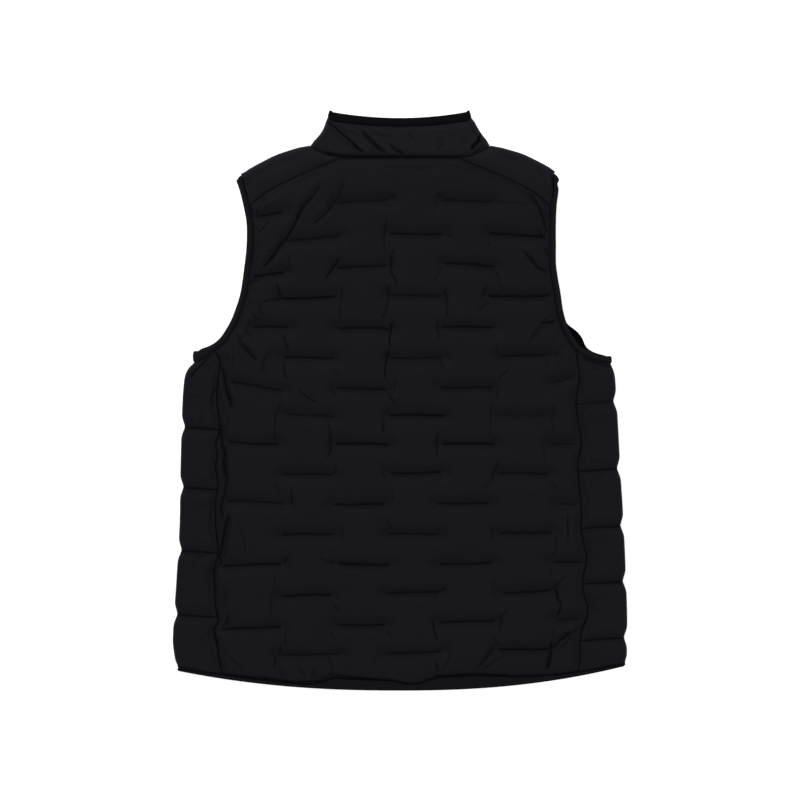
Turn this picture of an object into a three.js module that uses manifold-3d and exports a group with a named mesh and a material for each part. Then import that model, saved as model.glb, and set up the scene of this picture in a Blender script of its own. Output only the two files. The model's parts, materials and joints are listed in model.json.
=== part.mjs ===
// A padded vest zipped up and laid flat on its front, so that its back is on top.
// Millimetres, +Z up. The origin is under the middle of the vest, on the table.
// +X is the vest's right as it is looked down on, and +Y runs from the hem to the collar.
import * as THREE from "three";
import { mergeVertices } from "three/addons/utils/BufferGeometryUtils.js";
import Module from "manifold-3d";

const wasm = await Module();
wasm.setup();

// The front layer lies on the table and the back layer lies on it, and they part at this level.
const PARTING = 9;
const LAYER_GAP = 0.3;
const SEAM_GAP = 0.3;

// Thickness of each kind of wall, from the parting level out.
const SEAM_THICK = 3;
const BACK_PUFF = 14;
const SIDE_PUFF = 13;
const YOKE_PUFF = 8.5;
const COLLAR_THICK = 8;
const BAND_THICK = 4.6;

const HEM_BAND_WIDTH = 14;
const ARMHOLE_BAND_WIDTH = 8;
const COLLAR_BAND_WIDTH = 11;
const SEAM_ROLL = 24; // how far in from a seam the padding reaches its full height

// The back is quilted in short lines, each as wide as one column, that step from column to column.
const QUILT_ROWS = [259, 214, 173.5, 134, 95, 55, 15.5, -20, -58.5, -97, -135, -174, -212, -250.5, -290, -326];
const QUILT = { columnPitch: 69.3, columnStart: -12.5, groove: 6.5, blend: 14 };
const SIDE_QUILT = { left: [44, -34, -112, -194, -277], right: [44, -1, -88, -162, -234, -307] };
const SIDE_GROOVE = 9;

// The lowest point of the hem, and how far it has risen at the reference distance from the middle.
const HEM_LOW = -376;
const HEM_RISE = { left: 26, right: 31.5 };
const HEM_REFERENCE = 290;
const HEM_POWER = 2.3;

// Tables below are for one half: out is the distance from the middle, and up is Y.
const ARMHOLE_SEAM = {
  left: [
    { out: 203, up: 287 }, { out: 200, up: 274 }, { out: 195, up: 253 }, { out: 191, up: 230 },
    { out: 191, up: 200 }, { out: 194, up: 172 }, { out: 199, up: 138 }, { out: 206, up: 115 },
    { out: 214, up: 96 }, { out: 227, up: 76 }, { out: 241, up: 64 }, { out: 251, up: 57 }, { out: 262, up: 50 },
  ],
  right: [
    { out: 197, up: 289 }, { out: 197.5, up: 274 }, { out: 195, up: 253 }, { out: 194, up: 230 },
    { out: 194, up: 200 }, { out: 194.5, up: 172 }, { out: 200, up: 138 }, { out: 204, up: 112 },
    { out: 211, up: 91 }, { out: 221, up: 73 }, { out: 231, up: 62 }, { out: 247, up: 54 }, { out: 268, up: 48 },
  ],
};
// The front armhole is cut wider than the back one by this much at its widest.
const FRONT_ARMHOLE_EASE = { left: 0, right: 9, top: 100, bottom: 48 };
// How far the armhole binding stands above the seam where it turns under the arm.
const PIT_RISE = { left: 14, right: 9.5 };

const SHOULDER_EDGE = {
  left: [{ out: 207, up: 293 }, { out: 194, up: 302 }, { out: 159, up: 320 }, { out: 118, up: 334 }],
  right: [{ out: 204, up: 295 }, { out: 192, up: 304 }, { out: 158, up: 321 }, { out: 120, up: 333 }],
};
const YOKE_SEAM = [
  { out: 75, up: 314.5 }, { out: 92, up: 307.5 }, { out: 143, up: 286 }, { out: 171, up: 271 }, { out: 195, up: 252.5 },
];
const NECK_JUNCTION = { out: 75, up: 314.5 };
const YOKE_JUNCTION = 252.5; // where a yoke seam and a side seam each meet the armhole
const SIDE_JUNCTION = 63.5;
const NECK_POINT = { out: 112, up: 326 };
const FRONT_YOKE_END = { out: 97, up: 295 };
const FRONT_NECK_LOW = 250;
const SIDE_EDGE = {
  left: [
    { out: 268.5, up: 56 }, { out: 281, up: 22 }, { out: 284, up: -20 }, { out: 286, up: -94 }, { out: 287, up: -160 },
    { out: 291, up: -230 }, { out: 295.5, up: -300 }, { out: 295, up: -322 }, { out: 290, up: -350 },
  ],
  right: [
    { out: 275, up: 56 }, { out: 280, up: 22 }, { out: 283, up: -20 }, { out: 287, up: -94 }, { out: 291, up: -160 },
    { out: 294, up: -230 }, { out: 295.5, up: -276 }, { out: 295.5, up: -322 }, { out: 293.5, up: -350 },
  ],
};
const SIDE_SEAM = {
  left: [{ out: 241, up: 63.5 }, { out: 237, up: 30 }, { out: 238, up: -340 }],
  right: [{ out: 229, up: 63.5 }, { out: 230, up: 0 }, { out: 236, up: -200 }, { out: 234, up: -340 }],
};
// The collar's fold at its head, and how far its folded edge bows in between foot and head.
const COLLAR_HEAD = { left: 89.5, right: 88 };
const COLLAR_BOW = { left: 5.5, right: 2.5 };
const COLLAR_BACK_DIP = 366;
const COLLAR_RISE = 7.6; // from the middle of the collar's top edge to its folds
const COLLAR_FRONT_TOP = 314;

// The largest folds in the cloth that lies on top. Each is a soft trough between two places.
const FOLDS = [
  { fromX: -102, fromY: 281, toX: -164, toY: 175, depth: 4.5, width: 15 },
  { fromX: -71, fromY: 284, toX: -111, toY: 228, depth: 3, width: 14 },
  { fromX: 159, fromY: 190, toX: 194, toY: 162, depth: 3.5, width: 13 },
  { fromX: 173, fromY: 266, toX: 194, toY: 201, depth: 3, width: 13 },
  { fromX: -224, fromY: 45, toX: -224, toY: -143, depth: 6, width: 12 },
  { fromX: -186, fromY: 92, toX: -222, toY: 58, depth: 4, width: 13 },
  { fromX: 180, fromY: 84, toX: 216, toY: 50, depth: 4, width: 13 },
  { fromX: 196, fromY: -287, toX: 183, toY: -345, depth: 4, width: 13 },
  { fromX: -97, fromY: 362, toX: -45, toY: 320, depth: 3.5, width: 9 },
  { fromX: -50, fromY: 350, toX: -3, toY: 318, depth: 3, width: 9 },
  { fromX: 57, fromY: 342, toX: 46, toY: 322, depth: 2.5, width: 9 },
  { fromX: 105, fromY: 346, toX: 93, toY: 322, depth: 3, width: 8 },
];

// The zip runs down the middle of the front, in a channel between the two front panels.
const ZIP = {
  channel: 7, tapeInner: 2.9, tapeLow: 5.1, tapeHigh: 6.1, chainHalf: 2.6, chainLow: 4.8, chainHigh: 6.6,
  bottom: -366, boxLength: 9, boxHalf: 4.2, sliderFoot: 294.5, sliderLength: 13, sliderHalf: 4.6,
  sliderLow: 3.7, sliderHigh: 8.2,
};
// The pull swings on the slider's arch, about the line that runs across through its pivot.
const PULL = { pivotUp: 301, pivotLevel: 2.5, thick: 1.2, barHalf: 0.6, eyeLength: 5.2, eyeHalf: 1.5, length: 30, half: 2.9 };
const BAIL = { low: 0.4, thick: 1, half: 0.8, reach: 4.5 };

const SHELL_COLOUR = 0x16161a;
const BAND_COLOUR = 0x121214;
const METAL_COLOUR = 0x1b1b1d;

const SIDES = [
  { name: "left", sign: -1 },
  { name: "right", sign: 1 },
];
const UP = new THREE.Vector3(0, 0, 1);
const flat = (row) => new THREE.Vector2(row.out, row.up);
const smooth = (share) => THREE.MathUtils.smoothstep(share, 0, 1);
const { lerp, clamp } = THREE.MathUtils;

/** A smooth curve through the rows of a table. */
function curveOf(table) {
  return new THREE.SplineCurve(table.map(flat));
}

/** The point where a curve that only falls, or only rises, passes a level. */
function atLevel(curve, level) {
  let [low, high] = [0, 1];
  const falling = curve.getPoint(0).y > curve.getPoint(1).y;
  for (let step = 0; step < 40; step += 1) {
    const middle = (low + high) / 2;
    const above = curve.getPoint(middle).y > level;
    if (above === falling) low = middle;
    else high = middle;
  }
  return new THREE.Vector2(curve.getPoint(low).x, level);
}

/** The unit vector to the right of the way from one point to the next. */
function rightOf(from, to) {
  const along = to.clone().sub(from).normalize();
  return new THREE.Vector2(along.y, -along.x);
}

/** Moves a line of points to its right, which is a panel's side of each seam here, with mitred corners. */
function offset(points, distance, closed = false) {
  const last = points.length - 1;
  return points.map((point, i) => {
    const before = points[closed && i === 0 ? last : i - 1];
    const after = points[closed && i === last ? 0 : i + 1];
    const normals = [];
    if (before) normals.push(rightOf(before, point));
    if (after) normals.push(rightOf(point, after));
    const middle = normals[0].clone().add(normals.at(-1)).normalize();
    return point.clone().addScaledVector(middle, distance / Math.max(middle.dot(normals[0]), 0.5));
  });
}

/** The point on a seam that starts at a corner, a gap away from the other seam at that corner. */
function cornerPoint(corner, along, beside) {
  const way = along.clone().sub(corner).normalize();
  const other = beside.clone().sub(corner).normalize();
  return corner.clone().addScaledVector(way, SEAM_GAP / Math.abs(way.cross(other)));
}

/** Evenly shared points on a straight line. */
function between(start, end, steps) {
  return Array.from({ length: steps + 1 }, (_, i) => start.clone().lerp(end, i / steps));
}

function hemEdge(x) {
  const rise = x < 0 ? HEM_RISE.left : HEM_RISE.right;
  return HEM_LOW + rise * (Math.abs(x) / HEM_REFERENCE) ** HEM_POWER;
}

/** Rows of the back panel from its top edge to its last quilted row, closest where a quilting line runs. */
function panelRows() {
  const rows = [NECK_JUNCTION.up, 302, 290, 278];
  QUILT_ROWS.forEach((row, k) => {
    rows.push(row + QUILT.groove, row, row - QUILT.groove);
    if (k + 1 < QUILT_ROWS.length) rows.push((row + QUILT_ROWS[k + 1]) / 2);
  });
  const clear = rows.filter((row) => Math.abs(row - SIDE_JUNCTION) > 3);
  return [...clear, SIDE_JUNCTION].sort((a, b) => b - a);
}

const ROWS = panelRows();
const YOKE_END_ROW = ROWS.indexOf(YOKE_JUNCTION);
const ARMHOLE_END_ROW = ROWS.indexOf(SIDE_JUNCTION);
const EDGE_STEPS = 4;
const FOLD_STEPS = 6;

/** The seams of one half of the vest, as lines of points that neighbouring pieces share. */
function seamsOf(side) {
  const armhole = curveOf(ARMHOLE_SEAM[side]);
  const yokeCurve = curveOf(YOKE_SEAM);
  const sideCurve = curveOf(SIDE_SEAM[side]);
  const junction = atLevel(armhole, ROWS[YOKE_END_ROW]);
  const sideJunction = atLevel(armhole, ROWS[ARMHOLE_END_ROW]);
  const tip = armhole.getPoint(0);
  const pit = armhole.getPoint(1);

  const tipPart = between(tip, junction, EDGE_STEPS).map((p) => atLevel(armhole, p.y));
  const rowPart = ROWS.slice(YOKE_END_ROW + 1, ARMHOLE_END_ROW + 1).map((level) => atLevel(armhole, level));
  const pitPart = between(sideJunction, pit, EDGE_STEPS).slice(1).map((p) => atLevel(armhole, p.y));
  const armholeBack = [...tipPart, ...rowPart, ...pitPart];
  const eased = offset(armholeBack, -1).map((p, i) => {
    const share = clamp((FRONT_ARMHOLE_EASE.top - p.y) / (FRONT_ARMHOLE_EASE.top - FRONT_ARMHOLE_EASE.bottom), 0, 1);
    const ease = FRONT_ARMHOLE_EASE[side] * Math.sin(Math.PI * share) ** 2;
    return armholeBack[i].clone().lerp(p, ease);
  });

  const shoulder = curveOf(SHOULDER_EDGE[side]);
  const neck = flat(NECK_POINT);
  const neckJunction = flat(NECK_JUNCTION);
  const yokeBack = ROWS.slice(0, YOKE_END_ROW + 1).map((level) => atLevel(yokeCurve, level));
  yokeBack[0] = neckJunction;
  yokeBack[YOKE_END_ROW] = junction;
  const neckBack = between(neckJunction, neck, EDGE_STEPS).map((p, i) => {
    const sag = 2.4 * Math.sin((Math.PI * i) / EDGE_STEPS);
    return p.add(new THREE.Vector2(0, -sag));
  });
  const frontYokeEnd = flat(FRONT_YOKE_END);
  const neckFront = new THREE.SplineCurve([
    new THREE.Vector2(ZIP.channel, FRONT_NECK_LOW),
    new THREE.Vector2(45, FRONT_NECK_LOW + 5),
    new THREE.Vector2(80, FRONT_NECK_LOW + 24),
    frontYokeEnd,
  ]).getSpacedPoints(6);
  return {
    armholeBack,
    armholeFront: eased,
    junction,
    sideJunction,
    yokeBack,
    yokeFront: between(frontYokeEnd, junction, YOKE_END_ROW),
    neckBack,
    neckFront,
    neckFrontYoke: between(frontYokeEnd, neck, EDGE_STEPS),
    shoulder,
    sideAt: (level) => atLevel(sideCurve, clamp(level, SIDE_SEAM[side].at(-1).up, SIDE_SEAM[side][0].up)).x,
    edgeAt: (level) => atLevel(curveOf(SIDE_EDGE[side]), level).x,
    hemFold: SIDE_EDGE[side].at(-1).out - (PARTING + BAND_THICK) / 2,
  };
}

const SEAMS = { left: seamsOf("left"), right: seamsOf("right") };

/** A closed geometry from shared points, turned so that its faces point out. */
function closedGeometry(points, triangles) {
  const positions = points.flatMap((p) => [p.x, p.y, p.z]);
  const [a, b, c] = [new THREE.Vector3(), new THREE.Vector3(), new THREE.Vector3()];
  let volume = 0;
  for (let i = 0; i < triangles.length; i += 3) {
    a.copy(points[triangles[i]]);
    b.copy(points[triangles[i + 1]]);
    c.copy(points[triangles[i + 2]]);
    volume += a.dot(b.cross(c)) / 6;
  }
  const index = volume < 0 ? [...triangles].reverse() : triangles;
  const geometry = new THREE.BufferGeometry();
  geometry.setAttribute("position", new THREE.Float32BufferAttribute(positions, 3));
  geometry.setIndex(index);
  geometry.computeVertexNormals();
  return geometry;
}

/**
 * A wall of cloth from a grid of stations. Each station has a place in the parting level, the
 * direction that its outside faces, and how far out its outside lies.
 */
function clothWall(stations, ring = false) {
  const columns = stations.length;
  const rows = stations[0].length;
  const points = [];
  for (const inner of [true, false]) {
    for (const column of stations) {
      for (const { x, y, facing, thick } of column) {
        const out = inner ? LAYER_GAP / 2 : thick;
        points.push(new THREE.Vector3(x, y, PARTING).addScaledVector(facing, out));
      }
    }
  }
  const at = (inner, i, j) => (inner ? 0 : columns * rows) + (i % columns) * rows + j;
  const triangles = [];
  const quad = (a, b, c, d) => triangles.push(a, b, c, a, c, d);
  const spans = ring ? columns : columns - 1;
  for (let i = 0; i < spans; i += 1) {
    for (let j = 0; j < rows - 1; j += 1) {
      quad(at(false, i, j), at(false, i + 1, j), at(false, i + 1, j + 1), at(false, i, j + 1));
      quad(at(true, i, j), at(true, i, j + 1), at(true, i + 1, j + 1), at(true, i + 1, j));
    }
    quad(at(true, i, 0), at(true, i + 1, 0), at(false, i + 1, 0), at(false, i, 0));
    const last = rows - 1;
    quad(at(false, i, last), at(false, i + 1, last), at(true, i + 1, last), at(true, i, last));
  }
  for (let j = 0; j < rows - 1 && !ring; j += 1) {
    const end = columns - 1;
    quad(at(true, 0, j), at(false, 0, j), at(false, 0, j + 1), at(true, 0, j + 1));
    quad(at(false, end, j), at(true, end, j), at(true, end, j + 1), at(false, end, j + 1));
  }
  return closedGeometry(points, triangles);
}

/** The directions that a fold's outside faces as it turns from the back layer, over the edge, to the front layer. */
function foldTurn(outward) {
  const side = new THREE.Vector3(outward.x, outward.y, 0).normalize();
  return Array.from({ length: FOLD_STEPS - 1 }, (_, i) => {
    const angle = (Math.PI * (i + 1)) / FOLD_STEPS;
    return {
      share: (i + 1) / FOLD_STEPS,
      facing: UP.clone().multiplyScalar(Math.cos(angle)).addScaledVector(side, Math.sin(angle)),
    };
  });
}

const DOWN = UP.clone().negate();

/** A level as a count of quilting rows from the first one. */
function rowCount(y) {
  const next = clamp(QUILT_ROWS.findIndex((row) => row < y), 1, QUILT_ROWS.length - 1);
  const k = y <= QUILT_ROWS.at(-1) ? QUILT_ROWS.length - 1 : next;
  return k - (y - QUILT_ROWS[k]) / (QUILT_ROWS[k - 1] - QUILT_ROWS[k]);
}

/** How high the quilting stands at a place on the back, from 0 in a stitched line to 1. */
function quiltPuff(x, y) {
  const channel = (column) => {
    const rows = rowCount(y) - (Math.abs(column % 2) === 1 ? 0 : 1);
    const share = (((rows % 2) + 2) % 2) / 2;
    return Math.sin(Math.PI * share) ** 0.55;
  };
  const position = (x - QUILT.columnStart) / QUILT.columnPitch;
  const column = Math.floor(position);
  const share = position - column;
  const near = Math.min(share, 1 - share) * QUILT.columnPitch;
  const own = 0.5 + 0.5 * smooth(near / QUILT.blend);
  const neighbour = share < 0.5 ? column - 1 : column + 1;
  const valley = 0.12 * (1 - smooth(near / QUILT.blend));
  const blended = own * channel(column) + (1 - own) * channel(neighbour) - valley;
  return 0.16 + 0.84 * Math.max(blended, 0);
}

/** How much the folds take off the padding at a place. */
function foldDepth(x, y) {
  return FOLDS.reduce((deepest, fold) => {
    const [alongX, alongY] = [fold.toX - fold.fromX, fold.toY - fold.fromY];
    const long = Math.hypot(alongX, alongY);
    const along = ((x - fold.fromX) * alongX + (y - fold.fromY) * alongY) / long;
    const across = ((x - fold.fromX) * alongY - (y - fold.fromY) * alongX) / long;
    const ends = smooth(clamp(Math.min(along, long - along) / (0.25 * long) + 0.25, 0, 1));
    const depth = fold.depth * ends * Math.exp(-((across / (0.6 * fold.width)) ** 2));
    return Math.max(deepest, depth);
  }, 0);
}

/** A wall's thickness with the folds pressed into it. */
function folded(x, y, thick) {
  return Math.max(thick - foldDepth(x, y), Math.min(thick, SEAM_THICK));
}

/** The back panel: quilted outside, plain inside. */
function backPanel() {
  const ends = SIDES.map(({ name, sign }) => {
    const seams = SEAMS[name];
    const sideRows = ROWS.slice(ARMHOLE_END_ROW + 1).map((level) => new THREE.Vector2(seams.sideAt(level), level));
    const armhole = seams.armholeBack.slice(EDGE_STEPS + 1, -EDGE_STEPS);
    const line = offset([...seams.yokeBack, ...armhole, ...sideRows], SEAM_GAP);
    const last = line.at(-1);
    line.push(new THREE.Vector2(last.x, hemEdge(sign * last.x) + HEM_BAND_WIDTH + SEAM_GAP));
    return line.map((p) => new THREE.Vector2(sign * p.x, p.y));
  });
  const [left, right] = ends;
  left[0].y -= SEAM_GAP;
  right[0].y -= SEAM_GAP;

  const columns = [];
  const firstColumn = Math.floor((left.at(-1).x - QUILT.columnStart) / QUILT.columnPitch);
  for (let n = firstColumn; n < -firstColumn; n += 1) {
    const start = QUILT.columnStart + n * QUILT.columnPitch;
    const open = QUILT.columnPitch - QUILT.groove * 2;
    columns.push(start + QUILT.groove, start + QUILT.groove + open / 3, start + QUILT.groove + (2 * open) / 3);
    columns.push(start + QUILT.groove + open);
  }
  const inside = columns.filter((x) => x > left.at(-1).x + 3 && x < right.at(-1).x - 3);
  const squeeze = 0.8;
  const grid = left.map((start, j) => {
    const end = right[j];
    const isHem = j === left.length - 1;
    const xs = inside.map((x, i) =>
      clamp(x, start.x + squeeze * (i + 1), end.x - squeeze * (inside.length - i)),
    );
    return [start.x, ...xs, end.x].map((x, i, all) => {
      const onEdge = i === 0 || i === all.length - 1;
      let y = i === 0 ? start.y : end.y;
      if (!onEdge) y = lerp(start.y, end.y, (x - start.x) / (end.x - start.x));
      if (isHem) y = hemEdge(x) + HEM_BAND_WIDTH + SEAM_GAP;
      const toSide = Math.min(x - start.x, end.x - x);
      const toEnds = Math.min(NECK_JUNCTION.up - y, y - hemEdge(x) - HEM_BAND_WIDTH);
      const fade = smooth(toSide / SEAM_ROLL) * smooth(toEnds / SEAM_ROLL);
      const thick = lerp(SEAM_THICK, BACK_PUFF, fade * quiltPuff(x, y));
      return new THREE.Vector3(x, y, PARTING + folded(x, y, thick));
    });
  });

  const wide = grid[0].length;
  const points = grid.flat();
  const triangles = [];
  for (let j = 0; j < grid.length - 1; j += 1) {
    for (let i = 0; i < wide - 1; i += 1) {
      const [a, b] = [j * wide + i, (j + 1) * wide + i];
      triangles.push(a, b, b + 1, a, b + 1, a + 1);
    }
  }
  const rim = [];
  for (let j = 0; j < grid.length; j += 1) rim.push(j * wide);
  for (let i = 1; i < wide; i += 1) rim.push((grid.length - 1) * wide + i);
  for (let j = grid.length - 2; j >= 0; j -= 1) rim.push(j * wide + wide - 1);
  for (let i = wide - 2; i > 0; i -= 1) rim.push(i);
  const base = points.length;
  const inner = rim.map((v) => new THREE.Vector3(points[v].x, points[v].y, PARTING + LAYER_GAP / 2));
  points.push(...inner);
  rim.forEach((v, n) => {
    const next = (n + 1) % rim.length;
    triangles.push(v, base + n, base + next, v, base + next, rim[next]);
  });
  const floor = THREE.ShapeUtils.triangulateShape(inner.map((p) => new THREE.Vector2(p.x, p.y)), []);
  floor.forEach(([a, b, c]) => triangles.push(base + a, base + c, base + b));
  return closedGeometry(points, triangles);
}

/** A side panel, which wraps from the back seam over the vest's edge to the front seam. */
function sidePanel({ name, sign }) {
  const seams = SEAMS[name];
  const quilt = SIDE_QUILT[name];
  const topOf = (armhole) => {
    const seam = armhole.slice(-EDGE_STEPS - 1);
    const below = seam[0].clone().add(new THREE.Vector2(0, -1));
    const [, ...rest] = offset(seam, SEAM_GAP);
    return [cornerPoint(seam[0], below, seam[1]), ...rest];
  };
  const backTop = topOf(seams.armholeBack);
  const frontTop = topOf(seams.armholeFront);
  const hemLevel = (x) => hemEdge(sign * x) + HEM_BAND_WIDTH + SEAM_GAP;
  const lowest = hemLevel(SIDE_EDGE[name].at(-1).out);
  const levels = [];
  quilt.forEach((row, k) => {
    const next = k + 1 < quilt.length ? quilt[k + 1] : lowest;
    if (k > 0) levels.push(row + SIDE_GROOVE, row, row - SIDE_GROOVE);
    levels.push(lerp(row, next, 0.36), lerp(row, next, 0.64));
  });
  const lift = (level) => {
    const nearest = Math.min(...quilt.slice(1).map((row) => Math.abs(level - row)));
    return 0.12 + 0.88 * smooth(nearest / 20) ** 0.6;
  };
  const column = (top, i, facing, turned) => {
    const share = (top[i].x - top[0].x) / (top.at(-1).x - top[0].x);
    const station = (level, isTop, isHem) => {
      const foldX = isHem ? seams.hemFold : seams.edgeAt(level) - PARTING - 2;
      const x = isTop ? top[i].x : lerp(seams.sideAt(level), foldX, share);
      let y = level;
      if (isTop) y = top[i].y;
      if (isHem) y = hemLevel(x);
      let fade = lift(level);
      if (isTop) fade = 0;
      if (isHem) fade = 0.5 * smooth(share);
      const high = lerp(SEAM_THICK + 1, lerp(SEAM_THICK, SIDE_PUFF, smooth(share / 0.3)), fade);
      const backThick = i === 0 && turned === 0 ? SEAM_THICK : high;
      return { x: sign * x, y, facing, thick: lerp(backThick, PARTING, turned) };
    };
    return [
      station(0, true, false),
      ...levels.map((level) => station(level, false, false)),
      station(lowest, false, true),
    ];
  };
  const columns = backTop.map((_, i) => column(backTop, i, UP, 0));
  foldTurn(new THREE.Vector2(1, 0)).forEach(({ share, facing }) => {
    const mirrored = new THREE.Vector3(sign * facing.x, facing.y, facing.z);
    columns.push(column(backTop, EDGE_STEPS, mirrored, share));
  });
  for (let i = EDGE_STEPS; i >= 0; i -= 1) columns.push(column(frontTop, i, DOWN, 1));
  return clothWall(columns);
}

/** A patch of points that fills four edges. First and last run along, start and end run across. */
function patch(first, last, start, end) {
  return first.map((_, i) => {
    const u = i / (first.length - 1);
    return start.map((_, j) => {
      const v = j / (start.length - 1);
      const ruled = first[i].clone().lerp(last[i], v);
      const crossed = start[j].clone().lerp(end[j], u);
      const corners = first[0].clone().lerp(last[0], v).lerp(first.at(-1).clone().lerp(last.at(-1), v), u);
      return ruled.add(crossed).sub(corners);
    });
  });
}

/** A shoulder yoke, which wraps from the back yoke seam over the shoulder to the front one. */
function yoke({ name, sign }) {
  const seams = SEAMS[name];
  const steps = YOKE_END_ROW;
  const inset = PARTING + 0.5;
  const tipFold = seams.armholeBack[0];
  const neckFold = seams.neckBack.at(-1);
  const fold = Array.from({ length: steps + 1 }, (_, i) => {
    const share = i / steps;
    if (i === 0) return neckFold;
    if (i === steps) return tipFold;
    const edge = seams.shoulder.getPoint(1 - share);
    return edge.clone().sub(new THREE.Vector2(0.45, 0.89).multiplyScalar(inset));
  });
  const outwardAt = (share) => new THREE.Vector2(lerp(0.8, 0.45, Math.min(1, 3 * share)), lerp(0.6, 0.89, share));
  const neckSide = (neck, seam) => {
    const [, ...rest] = offset(neck, SEAM_GAP);
    return [cornerPoint(seam[0], seam[1], neck[1]), ...rest];
  };
  const tipSide = (armhole, seam) => {
    const edge = armhole.slice(0, EDGE_STEPS + 1);
    const [, ...rest] = offset(edge, SEAM_GAP).reverse();
    return [cornerPoint(seam.at(-1), seam.at(-2), edge.at(-2)), ...rest];
  };
  const neckEdge = neckSide(seams.neckBack, seams.yokeBack);
  const tipEdge = tipSide(seams.armholeBack, seams.yokeBack);
  const frontNeckEdge = neckSide(seams.neckFrontYoke, seams.yokeFront);
  const frontTipEdge = tipSide(seams.armholeFront, seams.yokeFront);
  const backSeam = [...seams.yokeBack];
  const frontSeam = [...seams.yokeFront];
  const joined = (line, start, end) => [start, ...line.slice(1, -1), end];
  const back = patch(
    neckEdge,
    tipEdge,
    joined(backSeam, neckEdge[0], tipEdge[0]),
    joined(fold, neckEdge.at(-1), tipEdge.at(-1)),
  );
  const front = patch(
    frontNeckEdge,
    frontTipEdge,
    joined(frontSeam, frontNeckEdge[0], frontTipEdge[0]),
    joined(fold, frontNeckEdge.at(-1), frontTipEdge.at(-1)),
  );
  const columns = back.map((line, i) => {
    const across = i / EDGE_STEPS;
    return line.map((p, j) => {
      const along = j / steps;
      const ends = smooth(Math.min(along, 1 - along) * 5);
      const rise = smooth(across * 2.4) * lerp(0.35, 1, ends);
      const thick = folded(sign * p.x, p.y, lerp(SEAM_THICK, YOKE_PUFF, rise));
      return { x: sign * p.x, y: p.y, facing: UP, thick };
    });
  });
  const foldLine = back.at(-1);
  const turnSteps = foldTurn(new THREE.Vector2(1, 0)).length;
  for (let t = 0; t < turnSteps; t += 1) {
    columns.push(
      foldLine.map((p, j) => {
        const { share, facing } = foldTurn(outwardAt(j / steps))[t];
        const start = columns[EDGE_STEPS][j].thick;
        const mirrored = new THREE.Vector3(sign * facing.x, facing.y, facing.z);
        return { x: sign * p.x, y: p.y, facing: mirrored, thick: lerp(start, PARTING, share) };
      }),
    );
  }
  [...front].reverse().forEach((line) => {
    columns.push(line.map((p) => ({ x: sign * p.x, y: p.y, facing: DOWN, thick: PARTING })));
  });
  return clothWall(columns);
}

/** A front panel, plain, with its outside flat on the table. */
function frontPanel({ name, sign }) {
  const seams = SEAMS[name];
  const armhole = seams.armholeFront.slice(EDGE_STEPS + 1, -EDGE_STEPS);
  const levels = [30, 0, -60, -130, -200, -270, -335];
  const side = levels.map((level) => new THREE.Vector2(seams.sideAt(level), level));
  const zipEdge = ZIP.channel - SEAM_GAP;
  const hem = between(new THREE.Vector2(side.at(-1).x, 0), new THREE.Vector2(zipEdge, 0), 14).map(
    (p) => new THREE.Vector2(p.x, hemEdge(sign * p.x) + HEM_BAND_WIDTH),
  );
  const neck = seams.neckFront.slice(1);
  const loop = [
    new THREE.Vector2(zipEdge, FRONT_NECK_LOW), ...neck, ...seams.yokeFront.slice(1), ...armhole, ...side, ...hem,
  ];
  const shape = new THREE.Shape(offset(loop, SEAM_GAP, true).map((p) => new THREE.Vector2(sign * p.x, p.y)));
  return new THREE.ExtrudeGeometry(shape, { depth: PARTING - LAYER_GAP / 2, bevelEnabled: false });
}

/** Columns that run round a flattened tube: front left, over the left fold, across the back, and round to front right. */
function roundTheVest(halves, make) {
  const [left, right] = halves;
  const columns = [];
  const add = (half, item, facing, turned) => columns.push(make(half, item, facing, turned));
  left.front.forEach((item) => add(left, item, DOWN, 1));
  [...foldTurn(left.outward)].reverse().forEach(({ share, facing }) => {
    add(left, left.fold, new THREE.Vector3(-facing.x, facing.y, facing.z), share);
  });
  left.back.forEach((item) => add(left, item, UP, 0));
  [...right.back].reverse().forEach((item) => add(right, item, UP, 0));
  foldTurn(right.outward).forEach(({ share, facing }) => add(right, right.fold, facing, share));
  [...right.front].reverse().forEach((item) => add(right, item, DOWN, 1));
  return columns;
}

/** The foot and head of the collar at each place round the neck. */
function collarHalves() {
  return SIDES.map(({ name, sign }) => {
    const seams = SEAMS[name];
    const headOut = COLLAR_HEAD[name];
    const backHead = (share) => {
      const out = headOut * share;
      return new THREE.Vector2(out, COLLAR_BACK_DIP - COLLAR_BAND_WIDTH + COLLAR_RISE * share ** 2);
    };
    const frontHead = (share) => {
      const out = lerp(ZIP.channel, headOut, share);
      return new THREE.Vector2(out, lerp(COLLAR_FRONT_TOP - COLLAR_BAND_WIDTH, backHead(1).y, share ** 1.6));
    };
    const middle = between(new THREE.Vector2(0, NECK_JUNCTION.up), flat(NECK_JUNCTION), 5).slice(1, -1);
    const backFeet = [...seams.neckBack].reverse().concat([...middle].reverse());
    const frontFeet = [...seams.neckFront, ...seams.neckFrontYoke.slice(1)];
    const fold = { foot: backFeet[0], head: backHead(1) };
    return {
      name,
      sign,
      outward: new THREE.Vector2(0.8, 0.6),
      fold,
      front: [...frontFeet.slice(0, -1).map((foot, i) => ({ foot, head: frontHead(i / (frontFeet.length - 1)) })), fold],
      back: [fold, ...backFeet.slice(1).map((foot) => ({ foot, head: backHead(foot.x / NECK_POINT.out) }))],
    };
  });
}

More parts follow.
